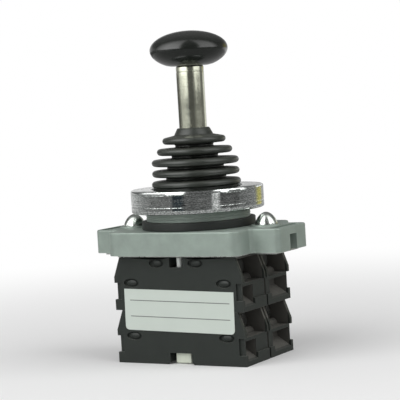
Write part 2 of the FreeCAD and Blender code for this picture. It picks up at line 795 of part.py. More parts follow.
# Steel retaining plate between the blocks and the casting
def make_retaining_plate():
    body = new_body("retaining_plate")
    sheet_outline = new_sketch(body, "plate_outline", "XY_Plane", "stack_top")
    quarter = [
        ("plate_half_length", "0 - plate_ear_half"),
        ("plate_half_length", "plate_ear_half"),
        ("plate_body_half", "plate_ear_half"),
        ("plate_body_half", "plate_half_width"),
    ]
    right = [("plate_body_half", "0 - plate_half_width"), ("plate_body_half", "0 - plate_ear_half")] + quarter
    left = [("0 - (%s)" % across, "0 - (%s)" % up) for across, up in right]
    outline(sheet_outline, right + left)
    pad(body, sheet_outline, "plate_thickness")
    window = new_sketch(body, "plate_window", "XY_Plane", "stack_top")
    outline(window, rectangle("0 - plate_window_length / 2", "0 - plate_window_width / 2",
                              "plate_window_length / 2", "plate_window_width / 2"))
    pocket(body, window, "plate_thickness", True)
    bores = new_sketch(body, "plate_bores", "XY_Plane", "stack_top")
    for side_x in ("", "0 - "):
        for side_y in ("", "0 - "):
            circle(bores, side_x + "stack_screw_out", side_y + "stack_screw_in",
                   "stack_screw_diameter + 2 * thread_clearance")
            circle(bores, side_x + "plate_screw_x", side_y + "plate_screw_y",
                   "plate_screw_head + 2 * thread_clearance")
        circle(bores, side_x + "clamp_screw_out", "0", "clamp_screw_diameter + 2 * head_clearance")
    pocket(body, bores, "plate_thickness", True)
    return body


keep("retaining_plate", make_retaining_plate())

plate_screws = []
for side_x in ("right", "left"):
    for side_y in ("front", "rear"):
        name = "plate_screw_%s_%s" % (side_x, side_y)
        across = ("1 *" if side_x == "right" else "-1 *") + " plate_screw_x"
        along = ("1 *" if side_y == "rear" else "-1 *") + " plate_screw_y"
        head = rod(name + "_head", "z", across, along, "stack_top", "plate_screw_head", "plate_thickness")
        shank = rod(name + "_shank", "z", across, along, "stack_top", "plate_screw_diameter",
                    "plate_screw_length")
        plate_screws.append(fuse(name, head, shank))
keep("plate_screws", group("plate_screws", *plate_screws))


# Die-cast frame with two lobes, and its threaded collar
def upright_at(edge, x, y):
    """Whether an edge is upright and stands at a corner whose distances from the middle are x and y."""
    place = edge.CenterOfMass
    return (abs(edge.tangentAt(edge.FirstParameter).z) > ALONG
            and abs(abs(place.x) - size(x)) < NEAR and abs(abs(place.y) - size(y)) < NEAR)


def make_casting():
    body = new_body("body_casting")
    frame = new_sketch(body, "frame_outline", "XY_Plane", "frame_low")
    outline(frame, [
        ("frame_half_length", "0 - frame_half_width"),
        ("frame_half_length", "0 - lobe_half_width"),
        ("lobe_reach", "0 - lobe_half_width"),
        ("lobe_reach", "lobe_half_width"),
        ("frame_half_length", "lobe_half_width"),
        ("frame_half_length", "frame_half_width"),
        ("0 - frame_half_length", "frame_half_width"),
        ("0 - frame_half_length", "lobe_half_width"),
        ("0 - lobe_reach", "lobe_half_width"),
        ("0 - lobe_reach", "0 - lobe_half_width"),
        ("0 - frame_half_length", "0 - lobe_half_width"),
        ("0 - frame_half_length", "0 - frame_half_width"),
    ])
    pad(body, frame, "frame_thickness")
    dress(body, "Fillet", "frame_corners", "frame_corner",
          lambda edge: upright_at(edge, "frame_half_length", "frame_half_width"))
    dress(body, "Fillet", "lobe_corners", "lobe_corner",
          lambda edge: upright_at(edge, "lobe_reach", "lobe_half_width"))
    dress(body, "Fillet", "lobe_roots", "lobe_fillet",
          lambda edge: upright_at(edge, "frame_half_length", "lobe_half_width"))
    dress(body, "Fillet", "frame_edges", "frame_edge_round",
          lambda edge: abs(edge.CenterOfMass.z - size("frame_top")) < NEAR)

    bosses = new_sketch(body, "screw_bosses", "XY_Plane", "frame_top - screw_boss_height")
    for sign in ("", "0 - "):
        circle(bosses, sign + "clamp_screw_out", "0", "screw_boss_diameter")
    pad(body, bosses, "2 * screw_boss_height")
    collar = new_sketch(body, "collar_outline", "XY_Plane", "frame_low")
    circle(collar, "0", "0", "collar_diameter")
    pad(body, collar, "collar_top - frame_low")
    bore = new_sketch(body, "collar_bore_outline", "XY_Plane", "frame_low")
    circle(bore, "0", "0", "collar_bore")
    pocket(body, bore, "collar_top - frame_low", True)

    screws = new_sketch(body, "frame_bores", "XY_Plane", "frame_low")
    for sign in ("", "0 - "):
        circle(screws, sign + "clamp_screw_out", "0", "clamp_screw_diameter + 2 * thread_clearance")
    pocket(body, screws, "frame_thickness + screw_boss_height", True)
    taps = new_sketch(body, "frame_taps", "XY_Plane", "frame_low")
    for side_x in ("", "0 - "):
        for side_y in ("", "0 - "):
            circle(taps, side_x + "plate_screw_x", side_y + "plate_screw_y",
                   "plate_screw_diameter + 2 * thread_clearance")
    pocket(body, taps, "plate_screw_length", True)
    slots = new_sketch(body, "lobe_slots", "XY_Plane", "frame_low")
    for sign in ("", "0 - "):
        outline(slots, [(sign + "(" + across + ")", up) for across, up in rectangle(
            "lobe_slot_start", "0 - lobe_slot_width / 2", "lobe_reach + end_step", "lobe_slot_width / 2")])
    pocket(body, slots, "lobe_slot_height", True)
    reliefs = new_sketch(body, "pin_reliefs", "XY_Plane", "frame_low")
    half_relief = "notch_pin_diameter / 2 + slide_clearance"
    for sign in ("", "0 - "):
        outline(reliefs, [(across, sign + "(" + up + ")") for across, up in rectangle(
            "0 - (%s)" % half_relief, "relief_front", half_relief, "lobe_rim - collar_bore / 2")])
    pocket(body, reliefs, "pin_relief_height", True)
    recesses = new_sketch(body, "lobe_recesses", "XY_Plane", "frame_top - lobe_recess_depth")
    for sign in ("", "0 - "):
        outline(recesses, [(sign + "(" + across + ")", up) for across, up in rectangle(
            "lobe_recess_start", "lobe_rim - lobe_half_width",
            "lobe_reach - lobe_rim", "lobe_half_width - lobe_rim")])
    pocket(body, recesses, "lobe_recess_depth", True)
    seats = new_sketch(body, "pin_seats", "XZ_Plane", "0 - gimbal_pin_out")
    circle(seats, "0", "pivot_height", "gimbal_pin_diameter + 2 * thread_clearance")
    pocket(body, seats, "2 * gimbal_pin_out", True)
    return body


keep("body_casting", make_casting())


# Clamp screws with cone points, which bite into the back of the panel
clamp_screws = []
for side, sign in (("right", "1 *"), ("left", "-1 *")):
    name = "clamp_screw_" + side
    across = sign + " clamp_screw_out"
    low = "frame_low + slide_clearance"
    boss_top = "frame_top + screw_boss_height"
    shank = rod(name + "_shank", "z", across, "0", low, "clamp_screw_diameter", "%s - (%s)" % (boss_top, low))
    point = cone(name + "_point", across, "0", boss_top, "clamp_screw_cone", "clamp_screw_tip_flat",
                 "clamp_screw_tip")
    clamp_screws.append(fuse(name, shank, point))
keep("clamp_screws", group("clamp_screws", *clamp_screws))

keep("panel_gasket", revolve("panel_gasket", rectangle(
    "collar_diameter / 2 + thread_clearance", "frame_top", "gasket_diameter / 2", "gasket_top")))


def make_ring_nut():
    groove_low = "nut_top - nut_groove_drop - nut_groove_width"
    groove_high = "nut_top - nut_groove_drop"
    groove_radius = "nut_diameter / 2 - nut_groove_depth"
    return revolve("ring_nut", [
        ("collar_diameter / 2 + thread_clearance", "nut_low"),
        ("nut_diameter / 2 - nut_chamfer", "nut_low"),
        ("nut_diameter / 2", "nut_low + nut_chamfer"),
        ("nut_diameter / 2", groove_low),
        (groove_radius, groove_low),
        (groove_radius, groove_high),
        ("nut_diameter / 2", groove_high),
        ("nut_diameter / 2", "nut_top - nut_chamfer"),
        ("nut_diameter / 2 - nut_chamfer", "nut_top"),
        ("nut_opening / 2", "nut_top"),
        ("nut_opening / 2", "nut_top - nut_lip"),
        ("collar_diameter / 2 + thread_clearance", "nut_top - nut_lip"),
    ])


keep("ring_nut", make_ring_nut())

# Gimbal: pins in the casting carry the ring, and pins in the ring carry the lever's hub
gimbal_pins = [
    rod("gimbal_pin_front", "y", "0", "0 - gimbal_pin_out", "pivot_height", "gimbal_pin_diameter",
        "gimbal_pin_out - gimbal_pin_in"),
    rod("gimbal_pin_rear", "y", "0", "gimbal_pin_in", "pivot_height", "gimbal_pin_diameter",
        "gimbal_pin_out - gimbal_pin_in"),
]
keep("gimbal_pins", group("gimbal_pins", *gimbal_pins))
hub_pins = [
    rod("hub_pin_left", "x", "0 - hub_pin_out", "0", "pivot_height", "gimbal_pin_diameter",
        "hub_pin_out - hub_pin_in"),
    rod("hub_pin_right", "x", "hub_pin_in", "0", "pivot_height", "gimbal_pin_diameter",
        "hub_pin_out - hub_pin_in"),
]
keep("hub_pins", group("hub_pins", *hub_pins))


def make_foot(name, across, along, top):
    """A round foot that presses on a plunger or a push rod."""
    tip = ball(name + "_ball", across, along, "foot_centre", "foot_radius")
    tip.Angle2 = 0
    stem = rod(name + "_stem", "z", across, along, "foot_centre", "2 * foot_radius", "%s - foot_centre" % top)
    return fuse(name, tip, stem)


def make_gimbal_ring():
    ring = cut("gimbal_blank",
               rod("gimbal_disc", "z", "0", "0", "gimbal_low", "gimbal_outer", "gimbal_thickness"),
               rod("gimbal_hole", "z", "0", "0", "gimbal_low", "gimbal_inner", "gimbal_thickness"))
    feet = [make_foot("gimbal_foot_left", "0 - rod_out", "column_centre", "gimbal_low + slide_clearance"),
            make_foot("gimbal_foot_right", "rod_out", "0 - column_centre", "gimbal_low + slide_clearance")]
    bores = [
        rod("gimbal_bore_y", "y", "0", "0 - gimbal_outer / 2", "pivot_height",
            "gimbal_pin_diameter + 2 * running_clearance", "gimbal_outer"),
        rod("gimbal_bore_x", "x", "0 - gimbal_outer / 2", "0", "pivot_height",
            "gimbal_pin_diameter + 2 * thread_clearance", "gimbal_outer"),
    ]
    return cut("gimbal_ring", fuse("gimbal_with_feet", ring, *feet), *bores)


keep("gimbal_ring", make_gimbal_ring())


def make_hub():
    barrel = revolve("hub_barrel", [
        ("shaft_tail_diameter / 2 + thread_clearance", "tail_low"),
        ("shaft_tail_diameter / 2 + thread_clearance", "hub_top"),
        ("hub_diameter / 2", "hub_top"),
        ("hub_diameter / 2", "hub_low"),
        ("hub_neck_diameter / 2", "hub_low"),
        ("hub_neck_diameter / 2", "bar_low"),
        ("0", "bar_low"),
        ("0", "tail_low"),
    ])
    bar = box("hub_bar", "0 - hub_bar_width / 2", "0 - hub_bar_half", "bar_low",
              "hub_bar_width", "2 * hub_bar_half", "hub_bar_thickness")
    feet = [make_foot("hub_foot_front", "0", "column_centre", "bar_top"),
            make_foot("hub_foot_rear", "0", "0 - column_centre", "bar_top")]
    tail = rod("hub_tail_bore", "z", "0", "0", "tail_low", "shaft_tail_diameter + 2 * thread_clearance",
               "hub_top - tail_low")
    bore = rod("hub_bore", "x", "0 - hub_diameter / 2", "0", "pivot_height",
               "gimbal_pin_diameter + 2 * running_clearance", "hub_diameter")
    return cut("lever_hub", fuse("hub_blank", barrel, bar, *feet), tail, bore)


keep("lever_hub", make_hub())

keep("lever_shaft", revolve("lever_shaft", [
    ("0", "tail_low"),
    ("shaft_tail_diameter / 2", "tail_low"),
    ("shaft_tail_diameter / 2", "hub_top"),
    ("shaft_diameter / 2", "hub_top"),
    ("shaft_diameter / 2", "shaft_top_height"),
    ("knob_stud_diameter / 2", "shaft_top_height"),
    ("knob_stud_diameter / 2", "shaft_top_height + knob_stud_height"),
    ("0", "shaft_top_height + knob_stud_height"),
]))


def make_knob():
    """A flattened ball with a flat seat on the rod's shoulder."""
    halves = []
    lower_axis = "knob_underside / sqrt(1 - (knob_seat_diameter / (2 * knob_radius)) ^ 2)"
    for name, semi_axis, first, last in (("knob_upper_half", "knob_height - knob_underside", 0, 90),
                                         ("knob_lower_half", lower_axis, -90, 0)):
        half = doc.addObject("Part::Ellipsoid", name)
        half.Angle1 = first
        half.Angle2 = last
        halves.append(bind(half, Radius1=semi_axis, Radius2="knob_radius", Placement__Base__z="knob_equator"))
    below = rod("knob_below", "z", "0", "0", "shaft_top_height - knob_height", "4 * knob_radius",
                "knob_height")
    bore = rod("knob_bore", "z", "0", "0", "shaft_top_height - slide_clearance",
               "knob_stud_diameter + 2 * thread_clearance", "knob_stud_height + 2 * slide_clearance")
    return cut("knob", fuse("knob_ball", *halves), below, bore)


keep("knob", make_knob())


# Rubber boot: a turned bellows of round ridges and furrows with straight flanks and one wall all through
def bellows_line(stations, inset):
    """Edges that wrap round each station in turn; a station is the radius and height of a round's centre,
    the size of the round, and 1 for a ridge or -1 for a furrow."""
    slopes = [0.0]
    for here, beyond in zip(stations, stations[1:]):
        across, up = beyond[0] - here[0], beyond[1] - here[1]
        share = here[3] * (here[2] + beyond[2]) / math.hypot(across, up)
        slopes.append(math.atan2(up, across) - math.acos(share))

    def touch(station, slope):
        radius, height, bend, side = station
        reach = side * bend - inset
        return Vector(radius + reach * math.cos(slope), 0, height + reach * math.sin(slope))

    edges = []
    for index, station in enumerate(stations[:-1]):
        first, last = slopes[index], slopes[index + 1]
        start, end = touch(station, first), touch(station, last)
        edges.append(Part.Arc(start, touch(station, (first + last) / 2), end).toShape())
        edges.append(Part.makeLine(end, touch(stations[index + 1], last)))
    return edges


def make_boot():
    wall = size("boot_wall")
    pitch = size("boot_pitch")
    ridge_round = size("boot_ridge_round")
    furrow_round = size("boot_furrow_round")
    height = size("nut_top") + size("boot_first_rise")
    stations = []
    for number in range(1, BOOT_RIDGES + 1):
        stations.append((size("boot_peak_%d" % number) - ridge_round, height, ridge_round, 1))
        if number < BOOT_RIDGES:
            valley = size("boot_valley_%d" % number)
            stations.append((valley + furrow_round, height + pitch / 2, furrow_round, -1))
            height += pitch
    top = height + size("boot_cone_rise")
    stations.append((size("boot_cone_radius"), top, 0, -1))
    outer = bellows_line(stations, 0)
    inner = bellows_line(stations, wall)
    throat = size("boot_peak_1")
    flange = size("boot_flange_diameter") / 2
    flange_low = size("collar_top")
    flange_top = flange_low + size("boot_flange_height")
    bore = size("shaft_diameter") / 2 + size("boot_shaft_clearance")
    neck = size("boot_neck_radius")
    neck_top = top + size("boot_neck_height")

    def lines(corners):
        return [Part.makeLine(first, last) for first, last in zip(corners, corners[1:])]

    foot = [inner[0].Vertexes[0].Point, Vector(throat - wall, 0, flange_low), Vector(flange, 0, flange_low),
            Vector(flange, 0, flange_top), Vector(throat, 0, flange_top), outer[0].Vertexes[0].Point]
    head = [outer[-1].Vertexes[1].Point, Vector(neck, 0, neck_top), Vector(bore, 0, neck_top),
            Vector(bore, 0, top), inner[-1].Vertexes[1].Point]
    face = Part.Face(Part.Wire(Part.__sortEdges__(outer + inner + lines(foot) + lines(head))))
    boot = doc.addObject("Part::Feature", "boot")
    boot.Shape = face.revolve(Vector(), Vector(0, 0, 1), 360)
    return boot


keep("rubber_boot", make_boot())

doc.recompute()
for item in doc.Objects:
    if "Invalid" in item.State or "Error" in item.State:
        raise RuntimeError("failed: %s %s" % (item.Name, item.State))
os.makedirs("parts", exist_ok=True)
for name, item in PARTS.items():
    shape = item.Shape
    if shape.isNull() or not shape.isValid() or not shape.Solids:
        raise RuntimeError("no valid shape: " + name)
    shape.exportStep("parts/%s.step" % name)
print(len(PARTS), "nodes")
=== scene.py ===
import json
import math

import bmesh
import bpy
from mathutils import Matrix, Vector


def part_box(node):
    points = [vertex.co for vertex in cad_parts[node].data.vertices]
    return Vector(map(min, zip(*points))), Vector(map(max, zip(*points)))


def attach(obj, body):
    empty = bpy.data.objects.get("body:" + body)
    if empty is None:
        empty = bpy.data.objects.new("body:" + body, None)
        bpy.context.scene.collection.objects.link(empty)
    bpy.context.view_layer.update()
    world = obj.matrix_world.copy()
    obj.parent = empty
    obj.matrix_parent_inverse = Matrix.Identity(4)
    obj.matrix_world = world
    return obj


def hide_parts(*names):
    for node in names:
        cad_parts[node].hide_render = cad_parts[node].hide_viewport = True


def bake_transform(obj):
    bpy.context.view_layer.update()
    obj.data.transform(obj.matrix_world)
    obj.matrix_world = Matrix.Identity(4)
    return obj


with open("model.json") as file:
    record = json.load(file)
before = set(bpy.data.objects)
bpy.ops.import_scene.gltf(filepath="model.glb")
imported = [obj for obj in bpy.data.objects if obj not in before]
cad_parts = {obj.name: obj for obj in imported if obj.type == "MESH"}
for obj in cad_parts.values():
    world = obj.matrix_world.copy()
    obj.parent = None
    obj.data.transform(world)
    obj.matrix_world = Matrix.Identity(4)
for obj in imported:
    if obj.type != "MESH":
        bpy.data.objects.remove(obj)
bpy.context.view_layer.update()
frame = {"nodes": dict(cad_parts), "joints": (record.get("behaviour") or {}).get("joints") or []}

MM = 0.001


def heights_of(node):
    """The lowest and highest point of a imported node, in millimetres."""
    return [round(corner[2] / MM, 3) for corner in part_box(node)]


# Real sizes in millimetres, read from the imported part
FRAME_TOP, GASKET_TOP = heights_of("panel_gasket")
NUT_LOW, NUT_TOP = heights_of("ring_nut")
COLLAR_TOP = heights_of("body_casting")[1]
SHAFT_TOP = heights_of("knob")[0]
LAYER_PITCH = heights_of("front_upper_housing")[0]
COLUMN_WIDTH = round(-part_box("front_lower_housing")[0][1] / MM, 3)
PIVOT = round(frame["joints"][0]["pos_m"][2] / MM, 3)

# The camera: its lens, how far off it stands, and the point it looks at, in millimetres
LENS = 139.95
CAMERA_DISTANCE = 450.0
AIM_HEIGHT = 45.7
AIM_RIGHT = 0.7
AIM_UP = -0.13


def make_camera():
    """Stand the camera at the photograph's place, a little turned about its own line of sight."""
    bearing, elevation, roll = math.radians(30.12), math.radians(3.83), math.radians(3.42)
    right = Vector((math.cos(bearing), math.sin(bearing), 0))
    away = Vector((-math.sin(bearing), math.cos(bearing), 0))
    up = Vector((0, 0, 1)) * math.cos(elevation) + away * math.sin(elevation)
    forward = away * math.cos(elevation) - Vector((0, 0, 1)) * math.sin(elevation)
    camera = bpy.data.objects.new("camera", bpy.data.cameras.new("camera"))
    bpy.context.scene.collection.objects.link(camera)
    camera.data.lens = LENS
    camera.data.sensor_width = 36.0
    camera.data.clip_start = 0.01
    aim = Vector((0, 0, AIM_HEIGHT)) + right * AIM_RIGHT + up * AIM_UP
    axes = Matrix((right, up, -forward)).transposed().to_4x4()
    place = Matrix.Translation((aim - forward * CAMERA_DISTANCE) * MM)
    camera.matrix_world = place @ axes @ Matrix.Rotation(-roll, 4, "Z")
    bpy.context.scene.camera = camera
    return bearing


VIEW_BEARING = make_camera()
bpy.context.scene.view_settings.view_transform = "Standard"


# Shader building
def feed(tree, socket, value):
    """Set a socket to a number or a colour, or join another socket to it."""
    if isinstance(value, (int, float, tuple)):
        socket.default_value = value
    else:
        tree.links.new(value, socket)


def calculate(tree, operation, *values):
    """A maths node whose inputs are sockets or numbers."""
    made = tree.nodes.new("ShaderNodeMath")
    made.operation = operation
    for socket, value in zip(made.inputs, values):
        feed(tree, socket, value)
    return made.outputs[0]


def noise(tree, vector, scale, detail=3.0, rough=0.55):
    """Noise of a scale that is a socket or a number."""
    made = tree.nodes.new("ShaderNodeTexNoise")
    for label, value in (("Vector", vector), ("Scale", scale), ("Detail", detail), ("Roughness", rough)):
        feed(tree, made.inputs[label], value)
    return made.outputs["Fac"]


def mix_colours(tree, factor, first, second, blend="MIX"):
    made = tree.nodes.new("ShaderNodeMix")
    made.data_type = "RGBA"
    made.blend_type = blend
    for index, value in ((0, factor), (6, first), (7, second)):
        feed(tree, made.inputs[index], value)
    return made.outputs[2]


def grey_from(tree, value):
    made = tree.nodes.new("ShaderNodeCombineColor")
    for index in range(3):
        tree.links.new(value, made.inputs[index])
    return made.outputs[0]


def share_between(tree, value, low, high, interpolation="LINEAR"):
    """How far a value has come from low, which gives 0, to high, which gives 1."""
    made = tree.nodes.new("ShaderNodeMapRange")
    made.interpolation_type = interpolation
    made.inputs["From Min"].default_value = low
    made.inputs["From Max"].default_value = high
    tree.links.new(value, made.inputs["Value"])
    return made.outputs["Result"]


def make_ramp(tree, value, stops, interpolation="LINEAR"):
    """A shade that follows a value from 0 to 1 through stops of a place and a grey level or a colour."""
    ramp = tree.nodes.new("ShaderNodeValToRGB")
    ramp.color_ramp.interpolation = interpolation
    while len(ramp.color_ramp.elements) < len(stops):
        ramp.color_ramp.elements.new(1.0)
    for element, (place, shade) in zip(ramp.color_ramp.elements, stops):
        element.position = place
        element.color = (*shade, 1) if isinstance(shade, tuple) else (shade, shade, shade, 1)
    tree.links.new(value, ramp.inputs["Fac"])
    return ramp.outputs["Color"]


def object_place(tree):
    return tree.nodes.new("ShaderNodeTexCoord").outputs["Object"]


def split_place(tree, vector):
    """The x, y and z of a place."""
    apart = tree.nodes.new("ShaderNodeSeparateXYZ")
    tree.links.new(vector, apart.inputs[0])
    return apart.outputs[0], apart.outputs[1], apart.outputs[2]


def glow_of(tree, colour):
    made = tree.nodes.new("ShaderNodeEmission")
    feed(tree, made.inputs["Color"], colour)
    return made.outputs[0]


def mix_shaders(tree, factor, first, second):
    made = tree.nodes.new("ShaderNodeMixShader")
    for socket, value in zip(made.inputs, (factor, first, second)):
        tree.links.new(value, socket)
    return made.outputs[0]


# Studio, in metres and degrees. Bearings are counted from the camera's, to the right.
SURROUND_RADIUS = 0.9
# Screens round the object: the bearing of each stop, and its brightness
SCREENS = ((-180, 0.75), (-150, 0.56), (-118, 0.42), (-108, 0.3), (-80, 0.2), (-46, 0.15),
           (-42, (0.025, 0.035, 0.042)), (-27, (0.025, 0.035, 0.042)), (-22, 0.11), (23, 0.12),
           (27, 0.62), (35, 0.56), (40, 0.08), (72, 0.12), (80, 0.19), (92, 0.2), (118, 0.28),
           (130, (0.52, 0.48, 0.16)), (142, (0.55, 0.5, 0.2)), (148, 0.42), (180, 0.56))
# The ceiling: how high each stop is, and its brightness
CEILING = ((0, 0.3), (8, 0.16), (35, 0.14), (52, 0.22), (90, 0.25))
# The screens give way to the ceiling between these shares of the way up
CEILING_START = 0.12
CEILING_FULL = 0.3
# Two tall panels: the bearing of each stop, and its brightness
TALL_PANELS = ((-180, 0), (-112, 0), (-96, 1.9), (-70, 4.8), (-32, 4.8), (-20, 0), (28, 0), (38, 3.3),
               (76, 2.9), (96, 0), (180, 0))
# How the tall panels show, by height
PANEL_HEIGHT = ((0, 0), (5, 0), (8, 1), (45, 0.75), (90, 0.12))
# Near panels beside the rod: bearing, width and brightness
SIDE_PANELS = ((-74, 0.13, 0.66), (-138, 0.15, 0.13), (30, 0.05, 0.22), (64, 0.07, 0.3), (140, 0.12, 0.95))
SIDE_PANEL_DISTANCE = 0.16
SIDE_PANEL_LOW = 0.053
SIDE_PANEL_HIGH = 0.085
FLOOR_RADIUS = 0.45
# The floor keeps its shadows as far as the first radius, and is plain white from the second
FLOOR_FADE = (0.05, 0.3)
FLOOR_PAINT = 0.9
FLOOR_IN_GLOSS = 0.4
ROOM_LIGHT = 0.36


def grey(level):
    return (level, level, level, 1)


def towards(bearing_degrees, elevation_degrees, distance):
    """A place in metres seen from the object, its bearing counted from the camera's to the right."""
    bearing = VIEW_BEARING + math.radians(bearing_degrees)
    elevation = math.radians(elevation_degrees)
    return Vector((math.sin(bearing) * math.cos(elevation),
                   -math.cos(bearing) * math.cos(elevation),
                   math.sin(elevation))) * distance


def add_stage_piece(name, bm, material_name, make_shader):
    """A piece of the studio, with a material whose shader comes from a function."""
    mesh = bpy.data.meshes.new(name)
    bm.to_mesh(mesh)
    bm.free()
    piece = bpy.data.objects.new(name, mesh)
    bpy.context.scene.collection.objects.link(piece)
    material = bpy.data.materials.new(material_name)
    material.use_nodes = True
    tree = material.node_tree
    tree.nodes.clear()
    end = tree.nodes.new("ShaderNodeOutputMaterial")
    tree.links.new(make_shader(tree), end.inputs["Surface"])
    mesh.materials.append(material)
    return piece


def show_in_gloss_only(piece):
    piece.visible_camera = False
    piece.visible_diffuse = False
    piece.visible_shadow = False
    piece.visible_transmission = False


def shade_surround(tree):
    """Screens, tall panels and ceiling, by bearing and by height."""
    x, y, z = split_place(tree, object_place(tree))
    bearing = calculate(tree, "ARCTAN2", x, calculate(tree, "MULTIPLY", y, -1.0))
    turn = calculate(tree, "MULTIPLY_ADD", bearing, 0.5 / math.pi, 0.5)
    rise = calculate(tree, "ARCSINE", calculate(tree, "DIVIDE", z, SURROUND_RADIUS))
    height = calculate(tree, "MULTIPLY", rise, 2 / math.pi)
    screens, tall = (make_ramp(tree, turn, [(degrees / 360 + 0.5, level) for degrees, level in stops])
                     for stops in (SCREENS, TALL_PANELS))
    ceiling = make_ramp(tree, height, [(degrees / 90, level) for degrees, level in CEILING], "EASE")
    raised = make_ramp(tree, height, [(degrees / 90, level) for degrees, level in PANEL_HEIGHT])
    share = share_between(tree, height, CEILING_START, CEILING_FULL, "SMOOTHSTEP")
    room = mix_colours(tree, share, screens, ceiling)
    panels = mix_colours(tree, 1.0, tall, raised, "MULTIPLY")
    return glow_of(tree, mix_colours(tree, 1.0, room, panels, "ADD"))


def make_surround():
    """Studio screens and a ceiling that only shine in gloss and metal."""
    bm = bmesh.new()
    bmesh.ops.create_uvsphere(bm, u_segments=96, v_segments=48, radius=SURROUND_RADIUS)
    surround = add_stage_piece("surround", bm, "surround_screens", shade_surround)
    surround.rotation_euler = (0, 0, VIEW_BEARING)
    show_in_gloss_only(surround)


def make_side_panel(bearing, width, level):
    """A near panel beside the rod that only shines in gloss and metal."""
    bm = bmesh.new()
    bmesh.ops.create_grid(bm, x_segments=1, y_segments=1, size=0.5)
    bmesh.ops.scale(bm, vec=(width, SIDE_PANEL_HIGH - SIDE_PANEL_LOW, 1), verts=bm.verts)
    panel = add_stage_piece("side_panel", bm, "side_panel_glow", lambda tree: glow_of(tree, grey(level)))
    place = towards(bearing, 0, SIDE_PANEL_DISTANCE)
    panel.location = place + Vector((0, 0, (SIDE_PANEL_LOW + SIDE_PANEL_HIGH) / 2))
    panel.rotation_euler = (-place).to_track_quat("Z", "Y").to_euler()
    show_in_gloss_only(panel)


def shade_floor(tree):
    """Pale and matt near the object, plain white farther out, and dim in gloss."""
    reach = tree.nodes.new("ShaderNodeVectorMath")
    reach.operation = "LENGTH"
    tree.links.new(object_place(tree), reach.inputs[0])
    spread = share_between(tree, reach.outputs["Value"], *FLOOR_FADE, "SMOOTHSTEP")
    matt = tree.nodes.new("ShaderNodeBsdfDiffuse")
    matt.inputs["Color"].default_value = grey(FLOOR_PAINT)
    seen = mix_shaders(tree, spread, matt.outputs[0], glow_of(tree, grey(1)))
    path = tree.nodes.new("ShaderNodeLightPath")
    return mix_shaders(tree, path.outputs["Is Glossy Ray"], seen, glow_of(tree, grey(FLOOR_IN_GLOSS)))


def make_floor():
    """A pale round floor that keeps the shadow near the object and runs out to plain white."""
    bm = bmesh.new()
    bmesh.ops.create_circle(bm, cap_ends=True, segments=64, radius=FLOOR_RADIUS)
    add_stage_piece("floor", bm, "floor_white", shade_floor)


def make_world():
    """White to the camera, in gloss and through glass, and a plain level of light on the object."""
    world = bpy.data.worlds.new("studio")
    bpy.context.scene.world = world
    world.use_nodes = True
    tree = world.node_tree
    tree.nodes.clear()
    path = tree.nodes.new("ShaderNodeLightPath").outputs
    seen = calculate(tree, "MAXIMUM", path["Is Camera Ray"], path["Is Glossy Ray"])
    shown = calculate(tree, "MAXIMUM", seen, path["Is Transmission Ray"])
    light = tree.nodes.new("ShaderNodeBackground")
    light.inputs["Strength"].default_value = ROOM_LIGHT
    white = tree.nodes.new("ShaderNodeBackground")
    for background in (light, white):
        background.inputs["Color"].default_value = grey(1)
    end = tree.nodes.new("ShaderNodeOutputWorld")
    tree.links.new(mix_shaders(tree, shown, light.outputs[0], white.outputs[0]), end.inputs["Surface"])


def make_softbox(name, bearing, elevation, distance, width, height, power):
    lamp = bpy.data.lights.new(name, "AREA")
    lamp.shape = "RECTANGLE"
    lamp.size = width
    lamp.size_y = height
    lamp.energy = power
    box = bpy.data.objects.new(name, lamp)
    bpy.context.scene.collection.objects.link(box)
    place = towards(bearing, elevation, distance)
    box.location = place
    box.rotation_euler = (-place).to_track_quat("-Z", "Y").to_euler()
    box.visible_glossy = False


make_world()
make_floor()
make_surround()
for bearing, width, level in SIDE_PANELS:
    make_side_panel(bearing, width, level)
make_softbox("left_softbox", bearing=-54, elevation=40, distance=0.8, width=0.8, height=0.75, power=3.75)
make_softbox("right_softbox", bearing=60, elevation=42, distance=0.8, width=0.7, height=0.7, power=2.75)


# Surface effects, each a group that materials share
def new_group(name, inputs, outputs):
    group = bpy.data.node_groups.new(name, "ShaderNodeTree")
    for label, value in inputs:
        kind = "NodeSocketColor" if isinstance(value, tuple) else "NodeSocketFloat"
        socket = group.interface.new_socket(label, in_out="INPUT", socket_type=kind)
        socket.default_value = value
    for label, kind in outputs:
        group.interface.new_socket(label, in_out="OUTPUT", socket_type=kind)
    return group, group.nodes.new("NodeGroupInput"), group.nodes.new("NodeGroupOutput")


def make_mottle():
    """Soft clouds of lighter and darker tone over a colour."""
    inputs = [("Colour", (0.5, 0.5, 0.5, 1)), ("Scale", 300.0), ("Contrast", 0.1)]
    outputs = [("Colour", "NodeSocketColor"), ("Clouds", "NodeSocketFloat")]
    group, start, end = new_group("mottle", inputs, outputs)
    clouds = noise(group, object_place(group), start.outputs["Scale"], 5.0, 0.6)
    swing = calculate(group, "MULTIPLY", calculate(group, "SUBTRACT", clouds, 0.5), start.outputs["Contrast"])
    tone = grey_from(group, calculate(group, "MULTIPLY_ADD", swing, 3.0, 1.0))
    colour = mix_colours(group, 1.0, start.outputs["Colour"], tone, "MULTIPLY")
    group.links.new(colour, end.inputs["Colour"])
    group.links.new(clouds, end.inputs["Clouds"])
    return group


def make_grain():
    """The fine grain of a moulded or cast skin."""
    group, start, end = new_group("skin_grain", [("Scale", 3000.0)], [("Height", "NodeSocketFloat")])
    place = object_place(group)
    fine = noise(group, place, start.outputs["Scale"], 2.0, 0.6)
    wide = noise(group, place, calculate(group, "MULTIPLY", start.outputs["Scale"], 0.22), 1.0)
    group.links.new(calculate(group, "MULTIPLY_ADD", wide, 0.6, fine), end.inputs["Height"])
    return group


